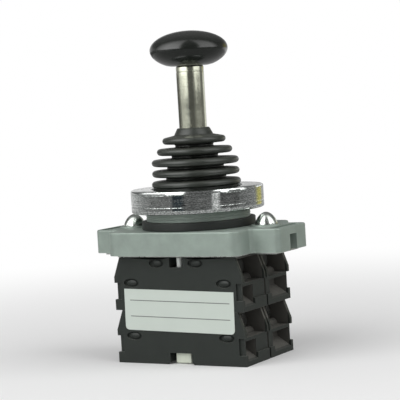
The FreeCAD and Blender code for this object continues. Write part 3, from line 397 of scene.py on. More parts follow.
def make_turned_lines():
    """Lines that a lathe leaves round the upright axis, with small torn specks along them."""
    group, start, end = new_group("turned_lines", [("Scale", 4000.0), ("Specks", 0.5)],
                                  [("Height", "NodeSocketFloat"), ("Tone", "NodeSocketFloat")])
    place = object_place(group)
    x, y, z = split_place(group, place)
    squares = calculate(group, "MULTIPLY_ADD", y, y, calculate(group, "MULTIPLY", x, x))
    line = group.nodes.new("ShaderNodeTexNoise")
    line.noise_dimensions = "1D"
    line.inputs["Detail"].default_value = 3.0
    group.links.new(calculate(group, "ADD", z, calculate(group, "SQRT", squares)), line.inputs["W"])
    group.links.new(start.outputs["Scale"], line.inputs["Scale"])
    stretch = group.nodes.new("ShaderNodeVectorMath")
    stretch.operation = "MULTIPLY"
    stretch.inputs[1].default_value = (0.55, 0.55, 1.6)
    group.links.new(place, stretch.inputs[0])
    speck_scale = calculate(group, "MULTIPLY", start.outputs["Scale"], 0.9)
    specks = share_between(group, noise(group, stretch.outputs[0], speck_scale, 4.0, 0.7), 0.42, 0.6)
    tone = calculate(group, "MULTIPLY_ADD", specks, start.outputs["Specks"], line.outputs["Fac"])
    group.links.new(line.outputs["Fac"], end.inputs["Height"])
    group.links.new(tone, end.inputs["Tone"])
    return group


def make_dust():
    """Pale dust on what faces up."""
    group, start, end = new_group("settled_dust", [("Amount", 0.3)], [("Mask", "NodeSocketFloat")])
    place = object_place(group)
    facing = split_place(group, group.nodes.new("ShaderNodeNewGeometry").outputs["Normal"])
    upward = calculate(group, "POWER", calculate(group, "MAXIMUM", facing[2], 0.0), 2.0)
    patches = noise(group, place, 500.0, 5.0, 0.65)
    specks = noise(group, place, 3500.0, 2.0)
    body = calculate(group, "MULTIPLY", calculate(group, "MULTIPLY", patches, specks), upward)
    group.links.new(calculate(group, "MULTIPLY", body, start.outputs["Amount"]), end.inputs["Mask"])
    return group


def make_wear_and_highlight():
    """Edges that handling has worn paler, a mask that also paints a highlight along them, from how far a
    rounded normal turns from the plain one.
    """
    inputs = [("Width", 0.0003), ("Amount", 0.5)]
    group, start, end = new_group("rubbed_edges_and_highlight", inputs, [("Mask", "NodeSocketFloat")])
    rounded = group.nodes.new("ShaderNodeBevel")
    rounded.samples = 6
    group.links.new(start.outputs["Width"], rounded.inputs["Radius"])
    turn = group.nodes.new("ShaderNodeVectorMath")
    turn.operation = "DOT_PRODUCT"
    group.links.new(rounded.outputs[0], turn.inputs[0])
    group.links.new(group.nodes.new("ShaderNodeNewGeometry").outputs["Normal"], turn.inputs[1])
    edge = share_between(group, turn.outputs["Value"], 0.995, 0.85)
    broken = calculate(group, "MULTIPLY", edge, noise(group, object_place(group), 900.0, 4.0, 0.7))
    group.links.new(calculate(group, "MULTIPLY", broken, start.outputs["Amount"]), end.inputs["Mask"])
    return group


EFFECTS = {"mottle": make_mottle(), "grain": make_grain(), "turned": make_turned_lines(),
           "dust": make_dust(), "wear_and_highlight": make_wear_and_highlight()}


def srgb(red, green, blue):
    """A colour as the eye reads it, 0 to 255, turned to Blender's linear values."""
    linear = []
    for channel in (red, green, blue):
        share = channel / 255
        linear.append(share / 12.92 if share <= 0.04045 else ((share + 0.055) / 1.055) ** 2.4)
    return (*linear, 1.0)


DUST_COLOUR = srgb(165, 165, 158)
DUST_ROUGHENING = 0.4
COAT_ROUGHNESS = 0.13


def use_effect(tree, name, **values):
    made = tree.nodes.new("ShaderNodeGroup")
    made.node_tree = EFFECTS[name]
    for label, value in values.items():
        feed(tree, made.inputs[label], value)
    return made.outputs


def swing_about(tree, value, middle, amount, level):
    """A level that a value moves up and down as it strays from its middle."""
    return calculate(tree, "MULTIPLY_ADD", calculate(tree, "SUBTRACT", value, middle), amount, level)


def make_surface(name, colour, roughness, metallic=0.0, specular=0.5, coat=0.0, anisotropy=0.0,
                 mottle=(300.0, 0.1), grain=None, turned=None, wear_and_highlight=None, dust=0.0, uneven=0.1, marks=None):
    """A procedural finish. grain is scale and depth, turned is scale, tone, specks and depth,
    wear_and_highlight is width, amount, colour and roughness of worn edges whose paler colour is also a
    painted highlight, and marks is a function that prints over the colour, or paints light into it."""
    material = bpy.data.materials.new(name)
    material.use_nodes = True
    tree = material.node_tree
    shader = tree.nodes["Principled BSDF"]
    clouds = use_effect(tree, "mottle", Colour=colour, Scale=mottle[0], Contrast=mottle[1])
    paint = clouds["Colour"]
    rough = swing_about(tree, clouds["Clouds"], 0.5, uneven * 2, roughness)
    heights = []
    if turned:
        scale, tone, specks, depth = turned
        lines = use_effect(tree, "turned", Scale=scale, Specks=specks)
        swing = swing_about(tree, lines["Tone"], 0.5 + specks / 2, tone * 2, 1.0)
        paint = mix_colours(tree, 1.0, paint, grey_from(tree, swing), "MULTIPLY")
        rough = swing_about(tree, lines["Tone"], 0.5, -0.1, rough)
        heights.append((lines["Height"], depth))
    if grain:
        scale, depth = grain
        heights.append((use_effect(tree, "grain", Scale=scale)["Height"], depth))
    if marks:
        paint = marks(tree, paint)
    if dust:
        settled = use_effect(tree, "dust", Amount=dust)["Mask"]
        paint = mix_colours(tree, settled, paint, DUST_COLOUR)
        rough = calculate(tree, "MULTIPLY_ADD", settled, DUST_ROUGHENING, rough)
    # Paler worn edges: partly real handling marks, partly a painted highlight along the edges.
    if wear_and_highlight:
        width, amount, worn_and_lit_colour, smooth = wear_and_highlight
        rubbed = use_effect(tree, "wear_and_highlight", Width=width, Amount=amount)["Mask"]
        paint = mix_colours(tree, rubbed, paint, worn_and_lit_colour)
        rough = calculate(tree, "MULTIPLY_ADD", rubbed, smooth - roughness, rough)
    tree.links.new(paint, shader.inputs["Base Color"])
    tree.links.new(rough, shader.inputs["Roughness"])
    shader.inputs["Metallic"].default_value = metallic
    shader.inputs["Specular IOR Level"].default_value = specular
    shader.inputs["Coat Weight"].default_value = coat
    shader.inputs["Coat Roughness"].default_value = COAT_ROUGHNESS
    if anisotropy:
        shader.inputs["Anisotropic"].default_value = anisotropy
        lay = tree.nodes.new("ShaderNodeTangent")
        lay.direction_type = "RADIAL"
        lay.axis = "Z"
        tree.links.new(lay.outputs[0], shader.inputs["Tangent"])
    normal = shader.inputs["Normal"]
    for height, depth in reversed(heights):
        bump = tree.nodes.new("ShaderNodeBump")
        bump.inputs["Distance"].default_value = depth
        tree.links.new(height, bump.inputs["Height"])
        tree.links.new(bump.outputs[0], normal)
        normal = bump.inputs["Normal"]
    return material


# The label's turn in degrees; its rule lines' heights, half thickness, middle and half length in metres
LABEL_TURN = 1.1
RULE_HEIGHTS = (0.018, 0.0134)
RULE_HALF_THICKNESS = 0.00013
RULE_MIDDLE = 0.0004
RULE_HALF_LENGTH = 0.0163
# Where the terminal cavities lie, from the block's middle outwards and from the columns' seam, in metres
CAVITY_START = 0.0125
CAVITY_END = 0.0203
CAVITY_SIDE = 0.0136


def print_rules(tree, paint):
    """The label's two thin rule lines, by height and reach along the slightly crooked film."""
    x, y, z = split_place(tree, object_place(tree))
    level = calculate(tree, "MULTIPLY_ADD", x, math.tan(math.radians(LABEL_TURN)), z)
    upper, lower = (calculate(tree, "COMPARE", level, height, RULE_HALF_THICKNESS) for height in RULE_HEIGHTS)
    reach = calculate(tree, "COMPARE", x, RULE_MIDDLE, RULE_HALF_LENGTH)
    ink = calculate(tree, "MULTIPLY", calculate(tree, "MAXIMUM", upper, lower), reach)
    return mix_colours(tree, ink, paint, srgb(112, 118, 113))


def painted_cavity_light(tree, paint):
    """Paler walls inside the terminal cavities, painted light that lifts the shade there, by their place
    inside the block's faces.
    """
    x, y, z = split_place(tree, object_place(tree))
    across = calculate(tree, "ABSOLUTE", x)
    along = calculate(tree, "ABSOLUTE", y)
    inside = calculate(tree, "MULTIPLY", calculate(tree, "LESS_THAN", across, CAVITY_END),
                       calculate(tree, "GREATER_THAN", across, CAVITY_START))
    inside = calculate(tree, "MULTIPLY", inside, calculate(tree, "LESS_THAN", along, CAVITY_SIDE))
    return mix_colours(tree, inside, paint, srgb(80, 79, 75))


# Each finish: grain as scale and depth, turned as scale, tone, specks and depth in metres
FINISHES = {
    "block": make_surface("block_moulding", srgb(41, 45, 42), 0.5, specular=0.22, mottle=(220.0, 0.12),
                          # Paler worn edges: partly real handling marks, partly a painted highlight.
                          grain=(5200.0, 0.000012), wear_and_highlight=(0.00035, 0.35, srgb(88, 92, 88), 0.4), dust=0.5,
                          # The terminal cavities are painted paler: painted light that lifts their shade.
                          marks=painted_cavity_light),
    "rivet": make_surface("rivet_moulding", srgb(38, 42, 39), 0.42, specular=0.3, grain=(4000.0, 0.00001)),
    "knob": make_surface("knob_gloss", srgb(25, 28, 25), 0.22, specular=0.2, coat=0.5, mottle=(150.0, 0.1),
                         grain=(900.0, 0.000002), uneven=0.03, dust=0.06),
    "boot": make_surface("boot_rubber", srgb(39, 43, 38), 0.36, specular=0.5, mottle=(260.0, 0.16),
                         grain=(2600.0, 0.000012), dust=0.28, uneven=0.14),
    "gasket": make_surface("gasket_rubber", srgb(33, 36, 34), 0.55, specular=0.35, mottle=(300.0, 0.14),
                           grain=(2600.0, 0.00001), dust=0.2),
    "ring": make_surface("ring_nut_turned", srgb(216, 221, 218), 0.11, metallic=1.0, anisotropy=0.5,
                         mottle=(240.0, 0.14), turned=(3600.0, 0.6, 0.9, 0.000006), uneven=0.08),
    "rod": make_surface("rod_ground_steel", srgb(196, 198, 180), 0.17, metallic=1.0, anisotropy=0.4,
                        mottle=(180.0, 0.2), turned=(2500.0, 0.1, 0.4, 0.000002), uneven=0.12),
    "casting": make_surface("frame_casting", srgb(140, 152, 144), 0.5, metallic=0.35, mottle=(240.0, 0.16),
                            # Paler worn edges: partly real handling marks, partly a painted highlight.
                            grain=(2400.0, 0.000022), wear_and_highlight=(0.0005, 0.6, srgb(196, 206, 198), 0.34),
                            dust=0.15),
    "label": make_surface("label_foil", srgb(197, 206, 198), 0.42, mottle=(90.0, 0.03),
                          grain=(3500.0, 0.000003), uneven=0.05, marks=print_rules),
    "zinc": make_surface("screw_zinc", srgb(206, 212, 206), 0.24, metallic=1.0, mottle=(600.0, 0.16),
                         turned=(5000.0, 0.1, 0.3, 0.000003), uneven=0.15),
    "plate": make_surface("plate_bright_steel", srgb(188, 192, 188), 0.3, metallic=1.0,
                          mottle=(260.0, 0.16), grain=(5000.0, 0.000004), uneven=0.15),
    "brass": make_surface("contact_brass", srgb(196, 164, 96), 0.3, metallic=1.0, mottle=(420.0, 0.2),
                          grain=(4200.0, 0.000004), uneven=0.15),
    "spring": make_surface("spring_wire_steel", srgb(176, 178, 176), 0.28, metallic=1.0,
                           mottle=(700.0, 0.2)),
    "cream": make_surface("plunger_cream", srgb(214, 220, 204), 0.4, mottle=(260.0, 0.08),
                          grain=(3800.0, 0.00001)),
    "white": make_surface("plunger_white", srgb(232, 236, 231), 0.36, mottle=(260.0, 0.05),
                          grain=(3800.0, 0.000008)),
    # Zinc darkened far below its own colour: painted shade for the screws and clamp plates inside the
    # terminal cavities.
    "terminal": make_surface("terminal_zinc_painted_shade", srgb(76, 77, 74), 0.55, metallic=1.0,
                             mottle=(600.0, 0.25), grain=(4200.0, 0.000006), uneven=0.15),
    "hub": make_surface("hub_steel", srgb(150, 152, 150), 0.34, metallic=1.0, mottle=(300.0, 0.2),
                        turned=(3000.0, 0.1, 0.3, 0.000003)),
}


# Pieces, their measures in millimetres
def finish_piece(name, bm, finish, nodes, body="root", sharp=40):
    """Turn a closed mesh into a piece that rides on its body and stands for its CAD nodes."""
    bmesh.ops.recalc_face_normals(bm, faces=bm.faces)
    mesh = bpy.data.meshes.new(name)
    bm.to_mesh(mesh)
    bm.free()
    mesh.shade_smooth()
    mesh.set_sharp_from_angle(angle=math.radians(sharp))
    mesh.materials.append(FINISHES[finish])
    piece = bpy.data.objects.new(name, mesh)
    bpy.context.scene.collection.objects.link(piece)
    if body:
        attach(piece, body)
    if nodes:
        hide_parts(*nodes)
    return piece


def turn_profile(bm, points, closed, steps=128, matrix=None):
    """Turn a line of (radius, height) points about the upright axis, then move what it makes."""
    verts = [bm.verts.new((radius * MM, 0, height * MM)) for radius, height in points]
    edges = [bm.edges.new(pair) for pair in zip(verts, verts[1:])]
    if closed:
        edges.append(bm.edges.new((verts[-1], verts[0])))
    earlier = set(bm.verts) - set(verts)
    bmesh.ops.spin(bm, geom=verts + edges, cent=(0, 0, 0), axis=(0, 0, 1), angle=2 * math.pi, steps=steps,
                   use_merge=True)
    poles = [vert for vert in bm.verts if vert not in earlier and math.hypot(vert.co.x, vert.co.y) < 1e-7]
    bmesh.ops.remove_doubles(bm, verts=poles, dist=1e-7)
    if matrix:
        bmesh.ops.transform(bm, matrix=matrix, verts=[vert for vert in bm.verts if vert not in earlier])


def arc_points(centre, radius, start, end, count=6):
    """Points on a round corner of a profile; angles in degrees from outward to upward."""
    turns = [math.radians(start + (end - start) * step / count) for step in range(count + 1)]
    return [(centre[0] + radius * math.cos(turn), centre[1] + radius * math.sin(turn)) for turn in turns]


def make_knob():
    """A flattened ball with a round seat below and a blind bore for the rod's end."""
    radius, rise, drop = 11.25, 5.3, 4.8
    seat, curve_end = 5.8, 4.5
    bore, bore_depth = 3.04, 6.25
    equator = SHAFT_TOP + drop
    fall = drop / math.sqrt(1 - (seat / radius) ** 2)
    last = math.asin(curve_end / fall)
    upper = [(radius * math.sin(math.radians(a)), equator + rise * math.cos(math.radians(a)))
             for a in range(0, 91, 3)]
    lower = [(radius * math.cos(last * step / 20), equator - fall * math.sin(last * step / 20))
             for step in range(1, 21)]
    inside = [(seat - 0.2, SHAFT_TOP + 0.06), (seat - 0.6, SHAFT_TOP), (4.25, SHAFT_TOP),
              (bore, SHAFT_TOP + 0.15), (bore, SHAFT_TOP + bore_depth), (0, SHAFT_TOP + bore_depth)]
    bm = bmesh.new()
    turn_profile(bm, upper + lower + inside, False)
    finish_piece("knob_ball", bm, "knob", ["knob"], "lever")


def make_rod():
    """The ground rod, with its tail in the hub, a fine line under the knob and its end in the knob."""
    tail, radius, end, chamfer = 2.5, 4, 3, 0.3
    low, hub_top, line, top = PIVOT - 4, PIVOT + 3, SHAFT_TOP - 1.8, SHAFT_TOP + 6
    bm = bmesh.new()
    turn_profile(bm, [(0, low), (tail - chamfer, low), (tail, low + chamfer), (tail, hub_top),
                      (radius - chamfer, hub_top), (radius, hub_top + chamfer),
                      (radius, line), (radius - 0.07, line + 0.1), (radius - 0.07, line + 0.25),
                      (radius, line + 0.35), (radius, SHAFT_TOP - 0.35), (radius - chamfer, SHAFT_TOP),
                      (end, SHAFT_TOP), (end, top - 0.4), (end - 0.4, top), (0, top)], False)
    finish_piece("lever_rod", bm, "rod", ["lever_shaft"], "lever", 30)


# The boot's ridges and furrows from the lowest up: how far out each reaches
BOOT_RIDGES = (12.9, 12.65, 12.6, 10.9, 9.15)
BOOT_FURROWS = (8.7, 8.2, 6.7, 5.5)
BOOT_PITCH = 3.1
BOOT_WALL = 0.6
RIDGE_ROUND = 0.95
FURROW_ROUND = 0.45
# How far the lowest ridge's middle stands above the nut, and the neck's foot above the last ridge's
BOOT_LIFT = 1.2
NECK_LIFT = 1.5
NECK_FOOT = 5.65
NECK_BORE = 4.1
FLANGE_RADIUS = 14.6
FLANGE_THICKNESS = 1
# The two lengths meet in the middle of this station, the first furrow
SEAM = 1


def wrap_rounds(stations, inset, steps):
    """Points of a line that wraps round each station in turn, a list for each station. A station is the
    radius and height of a round's centre, the size of the round, and 1 for a ridge or -1 for a furrow."""
    slopes = [0.0]
    for here, beyond in zip(stations, stations[1:]):
        across, up = beyond[0] - here[0], beyond[1] - here[1]
        share = here[3] * (here[2] + beyond[2]) / math.hypot(across, up)
        slopes.append(math.atan2(up, across) - math.acos(share))
    rounds = []
    for (radius, height, bend, side), first, last in zip(stations, slopes, slopes[1:]):
        turns = [first * (steps - step) / steps for step in range(steps if first else 0)]
        turns += [last * step / steps for step in range(steps + 1)]
        reach = side * bend - inset
        rounds.append([(radius + reach * math.cos(turn), height + reach * math.sin(turn)) for turn in turns])
    radius, height = stations[-1][:2]
    rounds.append([(radius - inset * math.cos(slopes[-1]), height - inset * math.sin(slopes[-1]))])
    return rounds


def make_boot():
    """The bellows in two lengths that meet in the first furrow."""
    height = NUT_TOP + BOOT_LIFT
    stations = []
    for number, radius in enumerate(BOOT_RIDGES):
        stations.append((radius - RIDGE_ROUND, height + number * BOOT_PITCH, RIDGE_ROUND, 1))
        if number < len(BOOT_FURROWS):
            furrow_height = stations[-1][1] + BOOT_PITCH / 2
            stations.append((BOOT_FURROWS[number] + FURROW_ROUND, furrow_height, FURROW_ROUND, -1))
    last_ridge = stations[-1][1]
    cone = last_ridge + NECK_LIFT
    stations.append((NECK_FOOT, cone, 0, -1))
    steps = 5
    lengths = []
    for inset in (0, BOOT_WALL):
        rounds = wrap_rounds(stations, inset, steps)
        lengths.append((sum(rounds[:SEAM], []) + rounds[SEAM][:steps + 1],
                        rounds[SEAM][steps:] + sum(rounds[SEAM + 1:], [])))
    (lower, upper), (lower_inner, upper_inner) = lengths
    throat = BOOT_RIDGES[0] - RIDGE_ROUND
    under = arc_points((throat, height), RIDGE_ROUND, -90, -15, 5)
    flange_top = COLLAR_TOP + FLANGE_THICKNESS
    foot = [(throat - BOOT_WALL, height), (throat - BOOT_WALL, COLLAR_TOP), (FLANGE_RADIUS, COLLAR_TOP),
            (FLANGE_RADIUS, flange_top), (throat, flange_top)]
    bm = bmesh.new()
    turn_profile(bm, under + lower + lower_inner[::-1] + foot, True)
    piece = finish_piece("boot_lower", bm, "boot", ["rubber_boot"], None, 60)
    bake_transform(piece)
    neck = [(5.5, cone + 0.3), (4.85, cone + 1.6), (4.6, cone + 1.95), (4.45, cone + 2),
            (NECK_BORE, cone + 2), (NECK_BORE, cone)]
    bm = bmesh.new()
    turn_profile(bm, upper + neck + upper_inner[::-1], True)
    piece = finish_piece("boot_upper", bm, "boot", ["rubber_boot"], None, 60)
    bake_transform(piece)


def make_ring():
    """The ring nut, with three fine turned grooves and broken edges."""
    outer, bore, opening, lip = 19.2, 15.04, 13.2, 1.2
    grooves = []
    for drop, width, depth in ((5.35, 0.16, 0.1), (4.3, 0.35, 0.25), (1.1, 0.1, 0.05)):
        low = NUT_TOP - drop - width
        grooves += [(outer, low), (outer - depth, low + 0.04)]
        grooves += [(outer - depth, low + width - 0.04), (outer, low + width)]
    profile = [(bore, NUT_LOW), (outer - 0.5, NUT_LOW), (outer - 0.12, NUT_LOW + 0.2), (outer, NUT_LOW + 0.5)]
    profile += grooves
    profile += [(outer, NUT_TOP - 0.5), (outer - 0.1, NUT_TOP - 0.18), (outer - 0.5, NUT_TOP),
                (opening + 0.3, NUT_TOP), (opening, NUT_TOP - 0.2), (opening, NUT_TOP - lip),
                (bore, NUT_TOP - lip)]
    bm = bmesh.new()
    turn_profile(bm, profile, True, 192)
    finish_piece("ring_nut_body", bm, "ring", ["ring_nut"], "root", 30)


def make_gasket():
    inner, outer, edge = 15.04, 16.5, 0.3
    bm = bmesh.new()
    turn_profile(bm, [(inner, FRAME_TOP), (outer - edge, FRAME_TOP)]
                 + arc_points((outer - edge, FRAME_TOP + edge), edge, -90, 0)
                 + arc_points((outer - edge, GASKET_TOP - edge), edge, 0, 90)
                 + [(inner, GASKET_TOP)], True)
    finish_piece("gasket_ring", bm, "gasket", ["panel_gasket"])


def make_thread():
    """The collar's thread where it shows between the gasket and the ring nut."""
    pitch, steps, turns = 0.75, 96, 3
    root, flank, crest = 14.95, 15.0, 15.13
    ridge = ((root, 0), (flank, 0.06), (crest, 0.2), (crest, 0.28), (flank, 0.42), (root, 0.48))
    low = GASKET_TOP + 0.02
    bm = bmesh.new()
    verts = [bm.verts.new((radius * MM, 0, (low + height) * MM)) for radius, height in ridge]
    face = bm.faces.new(verts)
    edges = list(face.edges)
    bm.faces.remove(face)
    bmesh.ops.spin(bm, geom=verts + edges, cent=(0, 0, 0), axis=(0, 0, 1), dvec=(0, 0, pitch * MM / steps),
                   angle=2 * math.pi * turns, steps=steps * turns)
    bmesh.ops.holes_fill(bm, edges=[edge for edge in bm.edges if edge.is_boundary], sides=8)
    finish_piece("collar_thread", bm, "casting", [], "root", 30)


def make_clamp_screws():
    """The pair of clamp screws: a chamfered foot, the thread at the boss and a round point above it."""
    low = heights_of("clamp_screws")[0]
    boss = FRAME_TOP + 0.4
    across, shank, root, pitch = 22, 2.5, 2.3, 0.4
    point_radius, point_rise, point_top = 3.2, 3.4, boss + 3.5
    thread = []
    for turn in range(4):
        height = boss - 1.6 + turn * pitch
        thread += [(shank, height), (root, height + pitch / 2)]
    point_foot = boss + 0.1
    turns = [math.radians(degrees) for degrees in range(0, 90, 6)]
    point = [(point_radius * math.cos(turn) ** 1.1, point_foot + point_rise * math.sin(turn) ** 1.3)
             for turn in turns]
    profile = [(0, low), (shank - 0.3, low), (shank, low + 0.3)] + thread
    profile += [(shank, boss), (point_radius - 0.04, boss + 0.02)] + point + [(0, point_top)]
    bm = bmesh.new()
    for side in (-1, 1):
        turn_profile(bm, profile, False, 64, Matrix.Translation((side * across * MM, 0, 0)))
    finish_piece("clamp_screw_pair", bm, "zinc", ["clamp_screws"], "root", 30)


def merged_copy(node):
    """A copy of a CAD node's mesh with its loose triangles joined."""
    bm = bmesh.new()
    bm.from_mesh(frame["nodes"][node].data)
    bmesh.ops.remove_doubles(bm, verts=bm.verts, dist=2e-6)
    return bm


def soften(node, name, finish, body="root", width=0.15, segments=2, reshape=None):
    """A copy of a CAD node whose corners are rounded as a mould or a die leaves them."""
    bm = merged_copy(node)
    bmesh.ops.dissolve_limit(bm, angle_limit=math.radians(0.5), verts=bm.verts, edges=bm.edges)
    if reshape:
        reshape(bm)
    piece = finish_piece(name, bm, finish, [node], body)
    edge = piece.modifiers.new("soft_edges", "BEVEL")
    edge.width = width * MM
    edge.segments = segments
    edge.limit_method = "ANGLE"
    edge.angle_limit = math.radians(35)
    edge.use_clamp_overlap = True
    flat = piece.modifiers.new("flat_faces", "WEIGHTED_NORMAL")
    flat.weight = 80


# A block's rivets, across and up its wall, in dimples that are round in the CAD and oval in the moulding
RIVET_PLACES = ((6.4, 13.6), (-6.4, 13.6), (15.2, 7.9), (-15.2, 7.9))
DIMPLE_RADIUS = 2.0
DIMPLE_DEPTH = 0.7
DIMPLE_STRETCH = (1.28, 1, 0.62)
RIVET_STRETCH = (1.15, 1, 0.66, 1)
# How far a lid's ends are set back from the columns' seam
SEAM_GAP = 0.4
# How near a corner lies to be taken as part of a dimple or of the seam
NEAR = 0.05


def make_dimples_oval(bm, side_y, base):
    """Draw the round dimples of the front wall out to the wide ovals of the moulding."""
    for across, up in RIVET_PLACES:
        centre = Vector((across, side_y * COLUMN_WIDTH, base + up)) * MM
        near = [vert for vert in bm.verts if abs(vert.co.y - centre.y) < (DIMPLE_DEPTH + NEAR) * MM
                and math.hypot(vert.co.x - centre.x, vert.co.z - centre.z) < (DIMPLE_RADIUS + NEAR) * MM]
        bmesh.ops.scale(bm, vec=DIMPLE_STRETCH, space=Matrix.Translation(-centre), verts=near)


def part_columns(bm, side_y):
    """Set a lid's ends back from the other column's, which leaves the dark line between the two."""
    ends = [vert for vert in bm.verts if abs(vert.co.y) < NEAR * MM and abs(vert.co.x) > 12 * MM]
    bmesh.ops.translate(bm, vec=(0, side_y * SEAM_GAP * MM, 0), verts=ends)


def make_rivets(block, side_y, base):
    """Domed rivet heads in their dimples, with the shanks behind them."""
    shank, length, head, rise = 0.88, 13.7, 1.45, 0.42
    profile = [(0, -length), (shank, -length), (shank, 0), (head - 0.03, 0), (head + 0.03, 0.12)]
    profile += arc_dome(head, rise, 0.14)
    facing = Matrix.Diagonal(RIVET_STRETCH) @ Matrix.Rotation(math.radians(-90 * side_y), 4, "X")
    bm = bmesh.new()
    for across, up in RIVET_PLACES:
        place = Vector((across, side_y * (COLUMN_WIDTH - DIMPLE_DEPTH), base + up)) * MM
        turn_profile(bm, profile, False, 32, Matrix.Translation(place) @ facing)
    finish_piece(block + "_rivet_heads", bm, "rivet", [block + "_rivets"])


def arc_dome(radius, rise, foot):
    """The flattened dome of a rivet's head, from just above its rim to its top."""
    turns = [math.radians(degrees) for degrees in range(12, 91, 13)]
    return [(radius * math.cos(turn), foot + rise * math.sin(turn)) for turn in turns]


def add_cross_screw(bm, matrix, shank, shank_length, head, head_height, slot=0.75, reach=2.9, depth=0.9):
    """A screw whose head sits on z = 0 and faces +z, with a crossed recess."""
    earlier = set(bm.verts)
    bmesh.ops.create_cone(bm, cap_ends=True, segments=40, radius1=head / 2 * MM, radius2=head / 2 * MM,
                          depth=head_height * MM, matrix=Matrix.Translation((0, 0, head_height / 2 * MM)))
    top = [vert for vert in bm.verts if vert not in earlier and vert.co.z > head_height * MM - 1e-7]
    rim = [edge for edge in bm.edges if edge.verts[0] in top and edge.verts[1] in top]
    bmesh.ops.bevel(bm, geom=rim, offset=0.35 * MM, segments=3, profile=0.5, affect="EDGES", material=-1)
    face = max((face for face in bm.faces if face.verts[0] not in earlier),
               key=lambda item: item.calc_center_median().z)
    parts = [face]
    for axis in (Vector((1, 0, 0)), Vector((0, 1, 0))):
        for cut in (-reach / 2, -slot / 2, slot / 2, reach / 2):
            geom = parts + list({edge for item in parts for edge in item.edges}
                                | {vert for item in parts for vert in item.verts})
            result = bmesh.ops.bisect_plane(bm, geom=geom, dist=1e-8, plane_co=axis * cut * MM, plane_no=axis)
            parts = [item for item in result["geom"] if isinstance(item, bmesh.types.BMFace)]
    sunk = []
    for item in parts:
        centre = item.calc_center_median() / MM
        near, far = sorted((abs(centre.x), abs(centre.y)))
        if near < slot / 2 and far < reach / 2:
            sunk.append(item)
    pushed = bmesh.ops.extrude_face_region(bm, geom=sunk)
    moved = [item for item in pushed["geom"] if isinstance(item, bmesh.types.BMVert)]
    bmesh.ops.translate(bm, vec=(0, 0, -depth * MM), verts=moved)
    bmesh.ops.create_cone(bm, cap_ends=True, segments=32, radius1=shank / 2 * MM, radius2=shank / 2 * MM,
                          depth=shank_length * MM, matrix=Matrix.Translation((0, 0, -shank_length / 2 * MM)))
    bmesh.ops.transform(bm, matrix=matrix, verts=[vert for vert in bm.verts if vert not in earlier])


def make_terminal_screws(block, side_y, base):
    """The two terminal screws of a block, one at each end, facing outwards."""
    across, up, turn = 14.8, 11.9, 20
    bm = bmesh.new()
    for side in (-1, 1):
        place = Vector((side * across, side_y * COLUMN_WIDTH / 2, base + up)) * MM
        facing = Matrix.Rotation(math.radians(side * 90), 4, "Y")
        crossed = Matrix.Rotation(math.radians(turn), 4, "Z")
        add_cross_screw(bm, Matrix.Translation(place) @ facing @ crossed, shank=3.2, shank_length=3.5,
                        head=4.4, head_height=2)
    finish_piece(block + "_screws", bm, "terminal", [block + "_terminal_screws"], "root", 30)


def make_stack_screws():
    """The four long screws that hold the blocks under the retaining plate, with heads below."""
    half_across, half_along, seat = 9.2, 3.9, 2.6
    bm = bmesh.new()
    for across in (-half_across, half_across):
        for along in (-half_along, half_along):
            place = Matrix.Translation(Vector((across, along, seat)) * MM)
            flip = Matrix.Rotation(math.pi, 4, "X") @ Matrix.Rotation(math.radians(across * 4), 4, "Z")
            add_cross_screw(bm, place @ flip, shank=2.5, shank_length=29.2, head=4, head_height=2, slot=0.6,
                            reach=2.4)
    finish_piece("stack_screw_set", bm, "zinc", ["stack_screws"], "root", 30)


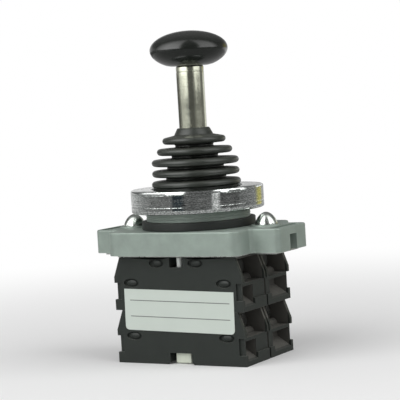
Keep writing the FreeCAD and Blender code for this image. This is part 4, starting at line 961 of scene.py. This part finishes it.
def make_label():
    """The rating film: square above, rounded below, and stuck on a little crooked."""
    wider, lower_by, corner, thinner, shift = 0.5, 0.15, 1.2, 0.1, 0.1
    low, high = (Vector(corner_place) for corner_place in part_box("rating_label"))
    centre = (low + high) / 2
    bm = bmesh.new()
    bmesh.ops.create_grid(bm, x_segments=1, y_segments=1, size=0.5,
                          matrix=Matrix.Rotation(math.radians(90), 4, "X"))
    bmesh.ops.scale(bm, vec=(high.x - low.x + wider * MM, 1, high.z - low.z - lower_by * MM), verts=bm.verts)
    below = [vert for vert in bm.verts if vert.co.z < 0]
    bmesh.ops.bevel(bm, geom=below, offset=corner * MM, segments=6, profile=0.5, affect="VERTICES",
                    material=-1)
    pushed = bmesh.ops.extrude_face_region(bm, geom=bm.faces[:], use_keep_orig=True)
    front = [item for item in pushed["geom"] if isinstance(item, bmesh.types.BMVert)]
    bmesh.ops.translate(bm, vec=(0, low.y - high.y + thinner * MM, 0), verts=front)
    place = Matrix.Translation((centre.x + shift * MM, high.y, centre.z + shift * MM))
    bmesh.ops.transform(bm, matrix=place @ Matrix.Rotation(math.radians(LABEL_TURN), 4, "Y"), verts=bm.verts)
    finish_piece("rating_film", bm, "label", ["rating_label"])


PLUNGER_BODIES = {"front_upper": "front_plunger", "rear_upper": "rear_plunger",
                  "front_lower": "left_plunger", "rear_lower": "right_plunger"}


def make_return_spring(block):
    """The plunger's spring, copied from its CAD node."""
    node = block + "_return_spring"
    piece = finish_piece(block + "_spring", merged_copy(node), "spring", [node], None, 60)
    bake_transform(piece)


def make_block(column, side_y, layer, level):
    """One contact block: housing, cover, clamp plates, rivets, terminal screws, plunger and spring."""
    block = column + "_" + level
    base = layer * LAYER_PITCH
    shade = "white" if level == "upper" else "cream"
    soften(block + "_housing", block + "_moulding", "block",
           reshape=lambda bm: make_dimples_oval(bm, side_y, base))
    soften(block + "_cover", block + "_lid", "block",
           reshape=lambda bm: part_columns(bm, side_y))
    soften(block + "_clamp_plates", block + "_clamps", "terminal", width=0.12)
    make_rivets(block, side_y, base)
    make_terminal_screws(block, side_y, base)
    soften(block + "_plunger", block + "_slider", shade, PLUNGER_BODIES[block], 0.12)
    make_return_spring(block)


make_knob()
make_rod()
make_label()
make_boot()
make_ring()
make_gasket()
make_thread()
make_clamp_screws()
make_stack_screws()
soften("body_casting", "frame_body", "casting", width=0.25, segments=3)
soften("retaining_plate", "retaining_sheet", "plate", width=0.08)
for column, side_y in (("front", -1), ("rear", 1)):
    for layer, level in enumerate(("lower", "upper")):
        make_block(column, side_y, layer, level)

# The finishes of the CAD nodes that are shown as they are
CARRIED = {"gimbal_pins": "hub", "gimbal_ring": "hub", "hub_pins": "hub", "lever_hub": "hub",
           "left_push_rod": "white", "right_push_rod": "white", "plate_screws": "zinc"}
for name, item in frame["nodes"].items():
    if not item.hide_render:
        is_contact = name.endswith("_contact_strips") or name.endswith("_contact_bridge")
        item.data.materials.clear()
        item.data.materials.append(FINISHES["brass" if is_contact else CARRIED[name]])
